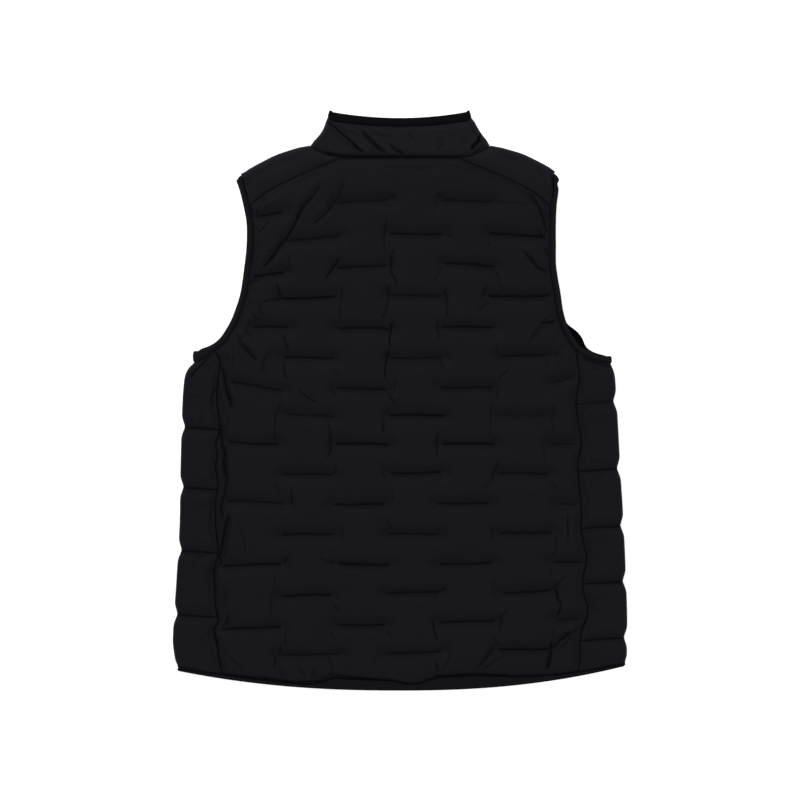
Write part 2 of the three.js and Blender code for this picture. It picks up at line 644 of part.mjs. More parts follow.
/** The stand-up collar, folded at both sides of the neck and open at the zip. */
function collar() {
  const rows = [0, 0.12, 0.35, 0.65, 0.88, 1];
  const halves = collarHalves();
  const columns = roundTheVest(halves, ({ name, sign, fold }, { foot, head }, facing, turned) => {
    const isFold = foot === fold.foot;
    return rows.map((share) => {
      const p = foot.clone().lerp(head, share);
      const bow = isFold ? COLLAR_BOW[name] * Math.sin(Math.PI * share) : 0;
      const plain = lerp(SEAM_THICK + 0.6, COLLAR_THICK, smooth(Math.min(share, 1 - share) * 5));
      const back = folded(sign * p.x, p.y, plain);
      return { x: sign * (p.x - bow), y: p.y, facing, thick: lerp(back, PARTING, turned) };
    });
  });
  return clothWall(columns);
}

/** The binding along the collar's top edge. */
function collarBinding() {
  const columns = roundTheVest(collarHalves(), ({ sign }, { foot, head }, facing, turned) => {
    const along = head.clone().sub(foot).normalize();
    return [SEAM_GAP, COLLAR_BAND_WIDTH / 2, COLLAR_BAND_WIDTH].map((reach, j) => {
      const lean = Math.abs(along.x) > 0.6 ? 0.6 * Math.sign(along.x) : along.x;
      const p = head.clone().add(new THREE.Vector2(lean * 0.5 * reach, reach));
      const back = j === 1 ? BAND_THICK : BAND_THICK - 0.9;
      return { x: sign * p.x, y: p.y, facing, thick: lerp(back, PARTING - 1, turned) };
    });
  });
  return clothWall(columns);
}

/** The band round the hem. */
function hemBand() {
  const halves = SIDES.map(({ name, sign }) => {
    const foldOut = SEAMS[name].hemFold;
    const outs = (start, steps) =>
      between(new THREE.Vector2(start, 0), new THREE.Vector2(foldOut, 0), steps).map((p) => p.x);
    return { name, sign, outward: new THREE.Vector2(1, 0), fold: foldOut, front: outs(ZIP.channel, 14), back: outs(0, 14).reverse() };
  });
  halves[1].back.pop();
  const columns = roundTheVest(halves, ({ sign }, out, facing, turned) => {
    const foot = hemEdge(sign * out);
    return [0, HEM_BAND_WIDTH / 2, HEM_BAND_WIDTH].map((reach, j) => {
      const back = j === 1 ? BAND_THICK : BAND_THICK - 0.9;
      return { x: sign * out, y: foot + reach, facing, thick: lerp(back, PARTING, turned) };
    });
  });
  return clothWall(columns);
}

/** The binding round an armhole, a ring that folds at the shoulder and under the arm. */
function armholeBinding({ name, sign }) {
  const seams = SEAMS[name];
  const tipOutward = new THREE.Vector2(0.45, 0.89);
  const pitOutward = new THREE.Vector2(1, 0);
  const column = (inner, outer, facing, turned) =>
    [0, 0.5, 1].map((share, j) => {
      const p = inner.clone().lerp(outer, share);
      const back = j === 1 ? BAND_THICK : BAND_THICK - 0.9;
      return { x: sign * p.x, y: p.y, facing, thick: lerp(back, PARTING, turned) };
    });
  const widths = (points) => {
    const outer = offset(points, -ARMHOLE_BAND_WIDTH);
    outer[0].copy(points[0]).add(new THREE.Vector2(7, -8));
    const last = outer.length - 1;
    outer[last].copy(points[last]).add(new THREE.Vector2(0, PIT_RISE[name]));
    outer[last - 1].y += 0.6 * (PIT_RISE[name] - ARMHOLE_BAND_WIDTH);
    outer[last - 2].y += 0.2 * (PIT_RISE[name] - ARMHOLE_BAND_WIDTH);
    return outer;
  };
  const backOuter = widths(seams.armholeBack);
  const frontOuter = widths(seams.armholeFront);
  const columns = [];
  seams.armholeBack.forEach((p, i) => columns.push(column(p, backOuter[i], UP, 0)));
  const addTurn = (turn, inner, outer) => {
    turn.forEach(({ share, facing }) => {
      columns.push(column(inner, outer, new THREE.Vector3(sign * facing.x, facing.y, facing.z), share));
    });
  };
  addTurn(foldTurn(pitOutward), seams.armholeBack.at(-1), backOuter.at(-1));
  for (let i = seams.armholeFront.length - 1; i >= 0; i -= 1) {
    columns.push(column(seams.armholeFront[i], frontOuter[i], DOWN, 1));
  }
  addTurn([...foldTurn(tipOutward)].reverse(), seams.armholeBack[0], backOuter[0]);
  return clothWall(columns, true);
}

/** A flat-sided block of an outline, between two levels. */
function slab(outline, low, high) {
  const geometry = new THREE.ExtrudeGeometry(outline, { depth: high - low, bevelEnabled: false, curveSegments: 6 });
  geometry.translate(0, 0, low);
  return geometry;
}

function rectangle(x0, y0, x1, y1) {
  return new THREE.Shape([
    new THREE.Vector2(x0, y0),
    new THREE.Vector2(x1, y0),
    new THREE.Vector2(x1, y1),
    new THREE.Vector2(x0, y1),
  ]);
}

/** A three.js geometry as a solid that can be joined. */
function solidOf(geometry) {
  const bare = geometry.clone();
  bare.deleteAttribute("normal");
  bare.deleteAttribute("uv");
  const merged = mergeVertices(bare, 1e-4);
  return new wasm.Manifold(
    new wasm.Mesh({
      numProp: 3,
      vertProperties: merged.attributes.position.array,
      triVerts: new Uint32Array(merged.index.array),
    }),
  );
}

function geometryOf(solid) {
  const mesh = solid.getMesh();
  const geometry = new THREE.BufferGeometry();
  geometry.setAttribute("position", new THREE.BufferAttribute(mesh.vertProperties, 3));
  geometry.setIndex(new THREE.BufferAttribute(mesh.triVerts, 1));
  geometry.computeVertexNormals();
  return geometry;
}

/** One tape of the zip, from the hem to the top of the collar's front. */
function zipTape({ sign }) {
  const [inner, outer] = [ZIP.tapeInner, ZIP.channel - SEAM_GAP];
  const xs = [sign * inner, sign * outer].sort((a, b) => a - b);
  const outline = rectangle(xs[0], ZIP.bottom + ZIP.boxLength + SEAM_GAP, xs[1], ZIP.sliderFoot - SEAM_GAP);
  return slab(outline, ZIP.tapeLow, ZIP.tapeHigh);
}

/** The closed teeth, as one strip. */
function zipChain() {
  const outline = rectangle(
    -ZIP.chainHalf, ZIP.bottom + ZIP.boxLength + SEAM_GAP, ZIP.chainHalf, ZIP.sliderFoot - SEAM_GAP,
  );
  return slab(outline, ZIP.chainLow, ZIP.chainHigh);
}

/** The box that holds the zip's two ends together at the hem. */
function zipBox() {
  const outline = rectangle(-ZIP.boxHalf, ZIP.bottom, ZIP.boxHalf, ZIP.bottom + ZIP.boxLength);
  return slab(outline, ZIP.chainLow - 0.6, ZIP.chainHigh);
}

/** The slider's body with the low arch that its pull hangs on. */
function zipSlider() {
  const { sliderFoot: foot, sliderLength: length, sliderHalf: half } = ZIP;
  const body = new THREE.Shape();
  body.moveTo(-half * 0.72, foot);
  body.lineTo(half * 0.72, foot);
  body.lineTo(half, foot + length * 0.72);
  body.quadraticCurveTo(half, foot + length, half * 0.5, foot + length);
  body.lineTo(-half * 0.5, foot + length);
  body.quadraticCurveTo(-half, foot + length, -half, foot + length * 0.72);
  const plate = slab(body, ZIP.sliderLow, ZIP.sliderHigh);

  const [near, far] = [PULL.pivotUp - BAIL.reach, PULL.pivotUp + BAIL.reach];
  const root = ZIP.sliderLow + 0.5;
  const arch = new THREE.Shape();
  arch.moveTo(near, root);
  arch.lineTo(near, BAIL.low + 0.4);
  arch.lineTo(near + 0.4, BAIL.low);
  arch.lineTo(far - 0.4, BAIL.low);
  arch.lineTo(far, BAIL.low + 0.4);
  arch.lineTo(far, root);
  arch.lineTo(far - BAIL.thick, root);
  arch.lineTo(far - BAIL.thick, BAIL.low + BAIL.thick);
  arch.lineTo(near + BAIL.thick, BAIL.low + BAIL.thick);
  arch.lineTo(near + BAIL.thick, root);
  const bail = new THREE.ExtrudeGeometry(arch, { depth: 2 * BAIL.half, bevelEnabled: false });
  // The outline is drawn as (Y, Z), so its axes are turned round to stand it across X.
  bail.applyMatrix4(new THREE.Matrix4().makeBasis(
    new THREE.Vector3(0, 1, 0), new THREE.Vector3(0, 0, 1), new THREE.Vector3(1, 0, 0),
  ));
  bail.translate(-BAIL.half, 0, 0);
  return geometryOf(solidOf(plate).add(solidOf(bail)));
}

/** The pull tab, hung by its eye on the slider's arch. */
function zipPull() {
  const top = PULL.pivotUp + PULL.barHalf;
  const outline = new THREE.Shape();
  outline.moveTo(-PULL.half, top);
  outline.lineTo(-PULL.half, top - PULL.length + PULL.half);
  outline.absarc(0, top - PULL.length + PULL.half, PULL.half, Math.PI, 2 * Math.PI, false);
  outline.lineTo(PULL.half, top);
  const eyeTop = PULL.pivotUp - PULL.barHalf;
  outline.holes.push(rectangle(-PULL.eyeHalf, eyeTop - PULL.eyeLength, PULL.eyeHalf, eyeTop));
  return slab(outline, PULL.pivotLevel - PULL.thick / 2, PULL.pivotLevel + PULL.thick / 2);
}

const finishes = {
  shell: new THREE.MeshStandardMaterial({ name: "shell", color: SHELL_COLOUR, roughness: 0.55, metalness: 0 }),
  band: new THREE.MeshStandardMaterial({ name: "band", color: BAND_COLOUR, roughness: 0.85, metalness: 0 }),
  metal: new THREE.MeshStandardMaterial({ name: "metal", color: METAL_COLOUR, roughness: 0.4, metalness: 0.6 }),
};

const vest = new THREE.Group();
function addPiece(name, geometry, finish) {
  const mesh = new THREE.Mesh(geometry, finish);
  mesh.name = name;
  vest.add(mesh);
}

addPiece("back_panel", backPanel(), finishes.shell);
addPiece("collar", collar(), finishes.shell);
addPiece("collar_binding", collarBinding(), finishes.band);
addPiece("hem_band", hemBand(), finishes.band);
for (const side of SIDES) {
  addPiece(`side_panel_${side.name}`, sidePanel(side), finishes.shell);
  addPiece(`shoulder_yoke_${side.name}`, yoke(side), finishes.shell);
  addPiece(`front_panel_${side.name}`, frontPanel(side), finishes.shell);
  addPiece(`armhole_binding_${side.name}`, armholeBinding(side), finishes.band);
  addPiece(`zip_tape_${side.name}`, zipTape(side), finishes.band);
}
addPiece("zip_chain", zipChain(), finishes.metal);
addPiece("zip_box", zipBox(), finishes.metal);
addPiece("zip_slider", zipSlider(), finishes.metal);
addPiece("zip_pull", zipPull(), finishes.metal);

// The origin lies under the middle of the whole vest.
const bounds = new THREE.Box3().setFromObject(vest);
const middle = bounds.getCenter(new THREE.Vector3());
vest.position.set(-middle.x, -middle.y, -bounds.min.z);

export default vest;
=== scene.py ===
"""A padded vest, zipped up and laid flat on its front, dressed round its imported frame.

Tables and sizes are in millimetres on the vest's own plan: X to the right and Y from hem to
collar as it is looked down on, and level above the table. Meshes are made in metres.
"""

from __future__ import annotations

import json
import logging
import math
from dataclasses import dataclass
from enum import Enum
from typing import Callable

import bpy
import numpy as np
from bpy.types import Material, Node, NodeSocket, NodeTree, Object
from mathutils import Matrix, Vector
from mathutils.geometry import delaunay_2d_cdt
from mathutils.kdtree import KDTree
from numpy import ndarray

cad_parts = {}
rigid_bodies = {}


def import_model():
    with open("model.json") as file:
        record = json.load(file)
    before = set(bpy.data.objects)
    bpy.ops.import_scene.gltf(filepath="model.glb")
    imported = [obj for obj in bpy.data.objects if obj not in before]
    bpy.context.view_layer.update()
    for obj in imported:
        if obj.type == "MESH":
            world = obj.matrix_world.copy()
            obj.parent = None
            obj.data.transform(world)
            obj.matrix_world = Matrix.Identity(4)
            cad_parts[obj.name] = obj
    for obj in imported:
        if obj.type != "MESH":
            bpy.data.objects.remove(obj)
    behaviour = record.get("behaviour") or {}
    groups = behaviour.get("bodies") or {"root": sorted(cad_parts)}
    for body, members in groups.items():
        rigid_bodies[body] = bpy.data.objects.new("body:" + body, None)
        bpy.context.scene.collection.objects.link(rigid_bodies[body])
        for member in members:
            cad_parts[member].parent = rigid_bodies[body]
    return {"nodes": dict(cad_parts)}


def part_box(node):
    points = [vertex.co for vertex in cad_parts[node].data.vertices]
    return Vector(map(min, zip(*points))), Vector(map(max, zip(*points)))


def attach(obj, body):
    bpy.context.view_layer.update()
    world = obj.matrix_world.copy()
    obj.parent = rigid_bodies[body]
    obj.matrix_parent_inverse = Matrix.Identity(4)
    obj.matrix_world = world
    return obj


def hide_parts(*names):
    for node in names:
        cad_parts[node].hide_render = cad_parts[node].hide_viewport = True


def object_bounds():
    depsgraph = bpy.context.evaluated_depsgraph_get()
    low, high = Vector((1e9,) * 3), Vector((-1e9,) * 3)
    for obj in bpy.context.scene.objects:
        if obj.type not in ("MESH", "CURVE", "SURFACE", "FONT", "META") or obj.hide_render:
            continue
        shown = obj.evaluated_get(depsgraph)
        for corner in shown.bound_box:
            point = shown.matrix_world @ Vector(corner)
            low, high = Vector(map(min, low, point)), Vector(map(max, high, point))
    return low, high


logging.basicConfig(level=logging.INFO, format="%(message)s")
log = logging.getLogger("vest")

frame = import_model()
CAD_BOUNDS = [[float(v) for v in corner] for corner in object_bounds()]

MM = 0.001
BODY = "vest"

# Levels and thicknesses of the two layers, as in the solids. They part at PARTING, and no seam is
# drawn in past PRESSED_MOST on the table's side or SUNK_LOWEST on the other.
PARTING = 9.0
LAYER_GAP = 0.3
SEAM_THICK = 3.0
PRESSED_MOST = 6.6
SUNK_LOWEST = PARTING + 1.2
BACK_PUFF = 14.0
SIDE_PUFF = 13.0
YOKE_PUFF = 8.5
COLLAR_THICK = 8.0
BAND_THICK = 4.6
HEM_BAND_WIDTH = 14.0
ARMHOLE_BAND_WIDTH = 8.0
COLLAR_BAND_WIDTH = 11.0
FRONT_STITCH_LEVEL = 5.0

SEAM_PITCH = 0.8
NET_BESIDE = 1.3

HEM_LOW = -376.0
HEM_RISE = {"left": 26.0, "right": 31.5}
HEM_REFERENCE = 290.0
HEM_POWER = 2.3

# Each row is (distance from the middle, Y).
ARMHOLE_SEAM = {
    "left": [
        (203, 287), (200, 274), (195, 253), (191, 230), (191, 200), (194, 172), (199, 138),
        (206, 115), (214, 96), (227, 76), (241, 64), (251, 57), (262, 50),
    ],
    "right": [
        (197, 289), (197.5, 274), (195, 253), (194, 230), (194, 200), (194.5, 172), (200, 138),
        (204, 112), (211, 91), (221, 73), (231, 62), (247, 54), (268, 48),
    ],
}
ARMHOLE_EASE = {"left": 0.0, "right": 9.0}
EASE_TOP = 100.0
EASE_BOTTOM = 48.0
PIT_RISE = {"left": 14.0, "right": 9.5}
SHOULDER_EDGE = {
    "left": [(207, 293), (194, 302), (159, 320), (118, 334)],
    "right": [(204, 295), (192, 304), (158, 321), (120, 333)],
}
YOKE_SEAM = [(75, 314.5), (92, 307.5), (143, 286), (171, 271), (195, 252.5)]
NECK_JUNCTION = (75.0, 314.5)
YOKE_JUNCTION = 252.5
SIDE_JUNCTION = 63.5
SIDE_FOOT = -340.0
NECK_POINT = (112.0, 326.0)
FRONT_YOKE_END = (97.0, 295.0)
FRONT_NECK_LOW = 250.0
SIDE_EDGE = {
    "left": [
        (270.5, 56), (277.5, 42), (281.5, 22), (284, -20), (286, -94), (287, -160), (291, -230),
        (295.5, -300), (295, -322), (290, -350),
    ],
    "right": [
        (277.5, 56), (280.5, 22), (283, -20), (287, -94), (291, -160), (294, -230), (295.5, -276),
        (295.5, -322), (293.5, -350),
    ],
}
SIDE_SEAM = {
    "left": [(241, 63.5), (237, 30), (238, -340)],
    "right": [(229, 63.5), (230, 0), (236, -200), (234, -340)],
}
SIDE_QUILT = {"left": [-34, -112, -194, -277], "right": [-1, -88, -162, -234, -307]}
COLLAR_HEAD = {"left": 89.5, "right": 88.0}
COLLAR_BOW = {"left": 5.5, "right": 2.5}
COLLAR_BACK_DIP = 366.0
COLLAR_RISE = 7.6
COLLAR_FRONT_TOP = 314.0
ZIP_CHANNEL = 7.0

# The tables below are in steps of 1.3 mm, across and down from the plan's top left corner. A line's
# fifth number is its strength in tenths.
STEP = 1.3
CORNER = 399.5

# Stitched lines of the back: (x, y) of each end, and how firmly the line is drawn in, which also sets how
# dark the painted shade in its groove is.
DASHES = [
    (254, 217, 284, 212, 8), (336, 204, 390, 200, 4.5), (440, 200, 492, 202, 6), (285, 241, 341, 236, 6),
    (388, 233, 444, 234, 8), (487, 233, 546, 237, 9), (252, 276, 286, 272, 10), (335, 268, 388, 265, 7.5),
    (442, 263, 496, 267, 8.5), (280, 298, 337, 296, 10), (385, 295, 443, 296, 5.5),
    (487, 296, 550, 295, 9.5), (252, 327, 290, 327, 8), (335, 328, 390, 329, 8), (440, 327, 494, 327, 9),
    (281, 357, 335, 358, 8.5), (388, 357, 443, 357, 6), (497, 356, 548, 354, 7.5),
    (229, 381, 284, 390, 7), (335, 387, 388, 389, 7), (438, 387, 494, 387, 7), (548, 383, 574, 377, 4),
    (283, 412, 335, 416, 5), (388, 415, 445, 415, 10), (495, 415, 548, 415, 3.5), (227, 441, 280, 443, 8),
    (334, 443, 390, 444, 9.5), (440, 443, 496, 443, 8.5), (547, 442, 576, 443, 5),
    (281, 473, 333, 474, 6), (388, 472, 443, 471, 8), (497, 473, 548, 473, 7), (226, 500, 286, 503, 6),
    (332, 503, 385, 503, 8), (435, 502, 490, 502, 7), (555, 503, 577, 503, 5), (280, 534, 335, 533, 8),
    (386, 533, 440, 533, 6.5), (498, 532, 552, 531, 7), (221, 565, 283, 563, 8),
    (336, 562, 391, 563, 8.5), (437, 563, 492, 561, 7.5), (552, 561, 581, 561, 8),
    (280, 595, 333, 594, 8.5), (385, 592, 440, 591, 7.5), (500, 592, 552, 588, 8),
    (221, 628, 282, 625, 8), (336, 623, 386, 623, 8), (438, 621, 496, 619, 8), (553, 617, 579, 617, 6),
    (279, 653, 342, 651, 6.5), (384, 652, 443, 649, 6.5), (496, 648, 550, 647, 9),
]

# Short creases of the back: (x, y) of each end, and how sharp the crease is, which sets both its depth and
# how dark the painted shade in it is.
CREASES = [
    (386, 216, 385, 255, 5), (394, 248, 390, 272, 6.5), (390, 272, 396, 288, 7), (340, 256, 324, 280, 8),
    (290, 254, 285, 273, 4), (277, 281, 281, 297, 7), (342, 286, 339, 320, 4.5), (386, 284, 387, 302, 6),
    (387, 302, 382, 320, 6.5), (443, 288, 447, 318, 6), (440, 264, 433, 282, 4),
    (436, 320, 437, 343, 5.5), (392, 320, 390, 350, 8), (388, 348, 385, 380, 8.5),
    (284, 332, 290, 352, 8), (268, 350, 262, 372, 5.5), (283, 360, 288, 380, 7.5),
    (332, 366, 339, 378, 3.5), (394, 375, 393, 392, 4), (388, 391, 396, 406, 6),
    (282, 392, 276, 415, 3.5), (276, 415, 276, 440, 5.5), (327, 419, 331, 443, 6.5),
    (331, 445, 325, 458, 8), (384, 418, 380, 433, 8), (438, 430, 437, 458, 6), (441, 356, 444, 370, 5),
    (297, 388, 318, 402, 7), (329, 385, 340, 402, 3), (274, 478, 281, 493, 5), (291, 485, 291, 506, 6),
    (380, 460, 385, 478, 3.5), (392, 487, 394, 500, 4), (335, 460, 333, 475, 4),
    (386, 516, 392, 530, 5.5), (493, 522, 490, 541, 5), (554, 532, 552, 558, 4.5),
    (567, 510, 566, 541, 6), (550, 564, 551, 579, 4), (433, 617, 437, 640, 8), (493, 575, 491, 592, 4),
    (500, 612, 498, 631, 6), (492, 632, 499, 645, 6), (495, 645, 476, 667, 6), (506, 652, 480, 668, 5),
    (554, 588, 559, 601, 9), (559, 600, 555, 616, 8.5), (566, 573, 552, 587, 5),
    (550, 641, 545, 669, 9.5), (552, 623, 550, 643, 4), (551, 647, 571, 628, 8), (557, 649, 577, 622, 6),
    (434, 657, 436, 671, 8), (450, 648, 441, 668, 5), (385, 627, 392, 637, 5), (329, 627, 337, 637, 6),
    (333, 600, 341, 612, 6), (438, 592, 448, 586, 6), (497, 618, 506, 606, 5), (490, 240, 485, 249, 5),
    (494, 268, 504, 292, 4), (487, 282, 482, 298, 5), (489, 299, 475, 312, 5), (537, 226, 544, 238, 6),
    (444, 234, 455, 240, 6), (390, 200, 397, 193, 4), (437, 191, 443, 200, 4.5), (492, 202, 526, 206, 3),
    (528, 192, 540, 214, 8), (540, 214, 547, 236, 7), (541, 246, 549, 260, 6), (521, 250, 537, 268, 7),
    (537, 268, 548, 274, 7), (556, 318, 540, 323, 9), (540, 323, 528, 345, 6), (551, 311, 541, 322, 5),
    (560, 330, 553, 341, 5), (564, 341, 551, 354, 4.5), (494, 342, 496, 354, 4), (549, 352, 546, 370, 4),
    (509, 367, 495, 382, 5), (496, 388, 497, 399, 6), (491, 400, 490, 438, 4), (552, 400, 550, 420, 4),
    (551, 420, 552, 436, 4), (544, 446, 543, 463, 4), (497, 455, 492, 475, 6), (492, 475, 482, 488, 5),
    (549, 476, 558, 490, 4), (229, 611, 225, 626, 7), (242, 343, 258, 361, 7), (233, 345, 232, 370, 4),
    (262, 203, 256, 217, 6), (270, 219, 257, 234, 6), (281, 640, 278, 655, 5.5), (277, 652, 273, 668, 7),
    (279, 662, 286, 674, 4), (286, 625, 285, 645, 4.5), (272, 594, 272, 615, 5), (276, 570, 272, 586, 5),
    (299, 662, 306, 675, 5), (312, 664, 316, 676, 5), (228, 652, 244, 667, 5), (283, 563, 287, 552, 5.5),
    (265, 522, 276, 512, 3), (238, 520, 246, 552, 3.5), (316, 556, 337, 562, 4.5),
    (262, 304, 281, 298, 6.5), (255, 318, 268, 322, 4), (326, 652, 334, 672, 4.5),
    (284, 474, 281, 466, 3), (372, 653, 373, 665, 3), (345, 524, 339, 540, 3), (321, 183, 300, 212, 7),
    (300, 212, 285, 240, 9.5), (285, 240, 262, 268, 8.5), (345, 181, 332, 205, 5.5),
    (332, 205, 312, 225, 7.5), (284, 241, 265, 254, 4.5), (258, 300, 266, 318, 4.5),
    (249, 310, 258, 324, 6), (251, 266, 259, 270, 5), (251, 284, 262, 279, 6), (237, 331, 242, 342, 6),
    (264, 371, 264, 360, 4.5), (264, 360, 270, 352, 5), (270, 352, 279, 350, 4), (250, 283, 256, 278, 6),
    (249, 273, 257, 277, 5), (246, 302, 254, 306, 4.5), (262, 192, 266, 203, 4),
    (234, 352, 231, 364, 4.5), (239, 338, 246, 352, 4), (250, 290, 258, 288, 4),
    (254, 262, 263, 256, 4.5), (330, 167, 350, 169, 2), (382, 167, 434, 167, 3.5),
    (300, 178, 322, 174, 2.5), (445, 165, 470, 172, 3.5), (290, 184, 312, 178, 2.5),
    (538, 205, 548, 224, 4.5), (531, 188, 547, 204, 5.5), (552, 285, 545, 296, 3.5),
    (245, 330, 254, 340, 3.5), (225, 348, 229, 362, 4.5), (571, 352, 566, 366, 4),
    (561, 352, 557, 366, 3), (236, 345, 240, 356, 3), (254, 392, 270, 397, 2.5),
    (300, 430, 318, 424, 2.5), (352, 470, 372, 474, 2), (402, 500, 420, 494, 2), (302, 510, 322, 516, 2),
    (345, 575, 365, 570, 2), (455, 590, 478, 596, 2), (460, 475, 480, 470, 2), (512, 440, 530, 447, 2),
    (515, 500, 535, 494, 2), (405, 600, 425, 607, 2), (255, 590, 268, 600, 2.5),
    (248, 470, 262, 478, 2.5),
]

# Deep puckers beside the left side seam: (x, y) of each end, and how dark the painted shade in the pucker
# is; each pucker is also drawn in.
PUCKERS = [
    (219, 357, 222, 367, 5), (222, 367, 226, 385, 9), (226, 385, 231, 409, 10), (229, 412, 229, 428, 5),
    (221, 420, 222, 435, 8.5), (222, 435, 225, 451, 9.5), (225, 451, 227, 481, 9.5),
    (227, 481, 223, 497, 6), (223, 497, 222, 514, 9.5), (222, 514, 227, 524, 5), (229, 508, 225, 531, 8),
    (225, 531, 221, 561, 10), (221, 561, 215, 570, 8), (215, 570, 217, 596, 5), (227, 581, 224, 606, 4.5),
    (217, 618, 214, 629, 9), (214, 629, 218, 648, 9), (218, 648, 222, 668, 8),
]

# Painted shadow: the dark line where the panel's edge overhangs the hem band, put in colour only: (x, y) of
# each end, and how dark.
PAINTED_HEM_SHADOW = [
    (222, 672, 262, 676, 7.5), (258, 675, 296, 680, 10), (290, 680, 318, 679, 9), (318, 679, 331, 672, 6),
    (330, 672, 352, 675, 9.5), (350, 675, 396, 679, 10), (394, 679, 424, 684, 6), (424, 684, 436, 675, 8),
    (434, 674, 470, 672, 10), (466, 672, 506, 673, 10), (508, 674, 548, 676, 8),
    (560, 675, 600, 668, 4.5), (176, 664, 204, 669, 8), (602, 667, 624, 661, 8),
]

# Creases of the side panels, the yokes and the collar: (x, y) of each end, and how sharp the crease is,
# which sets its depth and how dark the painted shade in it is.
SIDE_CREASES = [
    (190, 378, 209, 357, 9), (194, 374, 213, 353, 6), (196, 366, 215, 366, 3.5), (207, 407, 216, 385, 5),
    (210, 413, 214, 395, 4), (199, 424, 204, 409, 3), (192, 562, 209, 552, 4.5), (185, 470, 205, 478, 3),
    (196, 508, 214, 500, 3), (188, 530, 200, 543, 3), (190, 600, 210, 609, 3), (196, 640, 213, 632, 3),
    (183, 500, 190, 486, 3), (579, 357, 610, 366, 8.5), (582, 352, 611, 358, 5), (586, 362, 601, 371, 4),
    (579, 406, 591, 413, 3.5), (594, 390, 606, 384, 3), (585, 456, 600, 462, 3), (588, 480, 604, 474, 3),
    (590, 540, 606, 533, 2.5), (588, 609, 603, 609, 3.5), (590, 600, 606, 590, 2.5),
    (585, 652, 604, 645, 3), (598, 560, 612, 569, 2.5), (190, 398, 205, 390, 2.5),
]
YOKE_CREASES = [
    (249, 171, 247, 188, 6), (245, 176, 246, 192, 4), (286, 165, 295, 172, 2), (314, 141, 322, 150, 6),
    (321, 139, 323, 146, 4), (549, 169, 551, 184, 9), (551, 184, 548, 200, 7), (535, 166, 544, 180, 6),
    (510, 151, 511, 166, 3.5), (537, 170, 546, 188, 5), (266, 172, 272, 184, 2),
    (480, 152, 474, 158, 2.5), (520, 160, 527, 176, 2.5), (258, 168, 262, 186, 2.5),
    (302, 158, 309, 164, 2), (495, 155, 500, 168, 2),
]
COLLAR_CREASES = [
    (325, 121, 343, 135, 9), (343, 135, 365, 154, 10), (362, 131, 373, 143, 8), (373, 143, 387, 155, 9.5),
    (389, 144, 401, 154, 9), (371, 131, 379, 136, 4.5), (352, 126, 362, 131, 3),
    (378, 136, 394, 138, 3.5), (324, 143, 329, 148, 6), (395, 148, 402, 154, 9), (402, 148, 410, 152, 5),
    (443, 139, 436, 152, 6), (424, 145, 429, 149, 3.5), (409, 136, 415, 140, 3.5),
    (480, 133, 478, 142, 10), (478, 142, 469, 151, 10), (455, 148, 450, 153, 4),
    (335, 124, 350, 137, 4.5), (461, 136, 465, 142, 2.5), (347, 130, 362, 137, 4),
    (415, 130, 407, 137, 2.5), (430, 131, 437, 134, 2), (369, 146, 376, 154, 4),
    (332, 146, 339, 152, 3.5),
]

# Where the side seams run: (x, y).
SEAM_RUN = {
    "left": [
        (214.5, 351), (219, 357), (220, 363), (218, 380), (217, 400), (219, 416), (219, 432),
        (216, 443), (217.5, 456), (215.5, 466), (218, 481), (216, 496), (215.5, 510), (216, 527),
        (218, 545), (217.5, 556), (213.5, 569), (214.5, 585), (215.5, 605), (218.5, 618), (214, 628),
        (217.5, 645), (219.5, 660), (223, 672),
    ],
    "right": [
        (575.5, 351), (576.5, 360), (578.5, 377), (576, 392), (575, 405), (577, 420), (580, 443),
        (577, 460), (577.5, 480), (579.5, 500), (580.5, 514), (580, 528), (583, 545), (585.5, 557),
        (582, 575), (582, 590), (586.5, 605), (585.5, 615), (581, 626), (579, 640), (579, 655),
        (578, 666),
    ],
}

# How much of the hem band shows below the puffed panels: (x, width in mm).
HEM_SHOWN = [
    (178, 3.4), (219, 6.6), (252, 6.4), (290, 5.6), (310, 5.8), (320, 9), (333, 16), (360, 15),
    (392, 13.6), (405, 9.5), (418, 9.5), (428, 15), (440, 18), (476, 18.4), (497, 15.4), (520, 11.5),
    (547, 8.4), (578, 6.6), (624, 4.2),
]

QUILT_ROWS = [259, 214, 173.5, 134, 95, 55, 15.5, -20, -58.5, -97, -135, -174, -212, -250.5, -290, -326]
QUILT_EDGES = [-232, -155, -81, -13, 54, 124, 194, 232]


class Side(Enum):
    """Which half of the vest a piece belongs to, as it is looked down on."""

    LEFT = "left"
    RIGHT = "right"

    @property
    def sign(self) -> float:
        """The sign of X on this half."""
        return -1.0 if self is Side.LEFT else 1.0


class Slot(Enum):
    """The record's finishes that whole pieces have."""

    SHELL = "shell"
    BINDING = "binding"
    TAPE = "zip_tape"
    CHAIN = "zip_chain"


# Lines and seams


def spline(rows: list, count: int = 241) -> ndarray:
    """A smooth curve through the rows of a table.

    Args:
        rows: The table's points.
        count: How many points the curve has.

    Returns:
        The curve's points.
    """
    pts = np.asarray(rows, float)
    last = len(pts) - 1
    t = np.linspace(0, last, count)
    i = np.minimum(t.astype(int), last - 1)
    w = (t - i)[:, None]
    p0, p1 = pts[np.maximum(i - 1, 0)], pts[i]
    p2, p3 = pts[i + 1], pts[np.minimum(i + 2, last)]
    v0, v1 = (p2 - p0) / 2, (p3 - p1) / 2
    return (2 * p1 - 2 * p2 + v0 + v1) * w**3 + (-3 * p1 + 3 * p2 - 2 * v0 - v1) * w**2 + v0 * w + p1


def smooth(value: ndarray | float) -> ndarray:
    """Eases a share from 0 to 1 with level ends."""
    v = np.clip(value, 0, 1)
    return v * v * (3 - 2 * v)


def lerp(a: ndarray | float, b: ndarray | float, share: ndarray | float) -> ndarray:
    """The value a share of the way from a to b."""
    return a + (b - a) * share


def at_level(line: ndarray, level: ndarray | float) -> ndarray:
    """The X at which a line that runs steadily in Y passes a level."""
    order = np.argsort(line[:, 1])
    return np.interp(level, line[order, 1], line[order, 0])


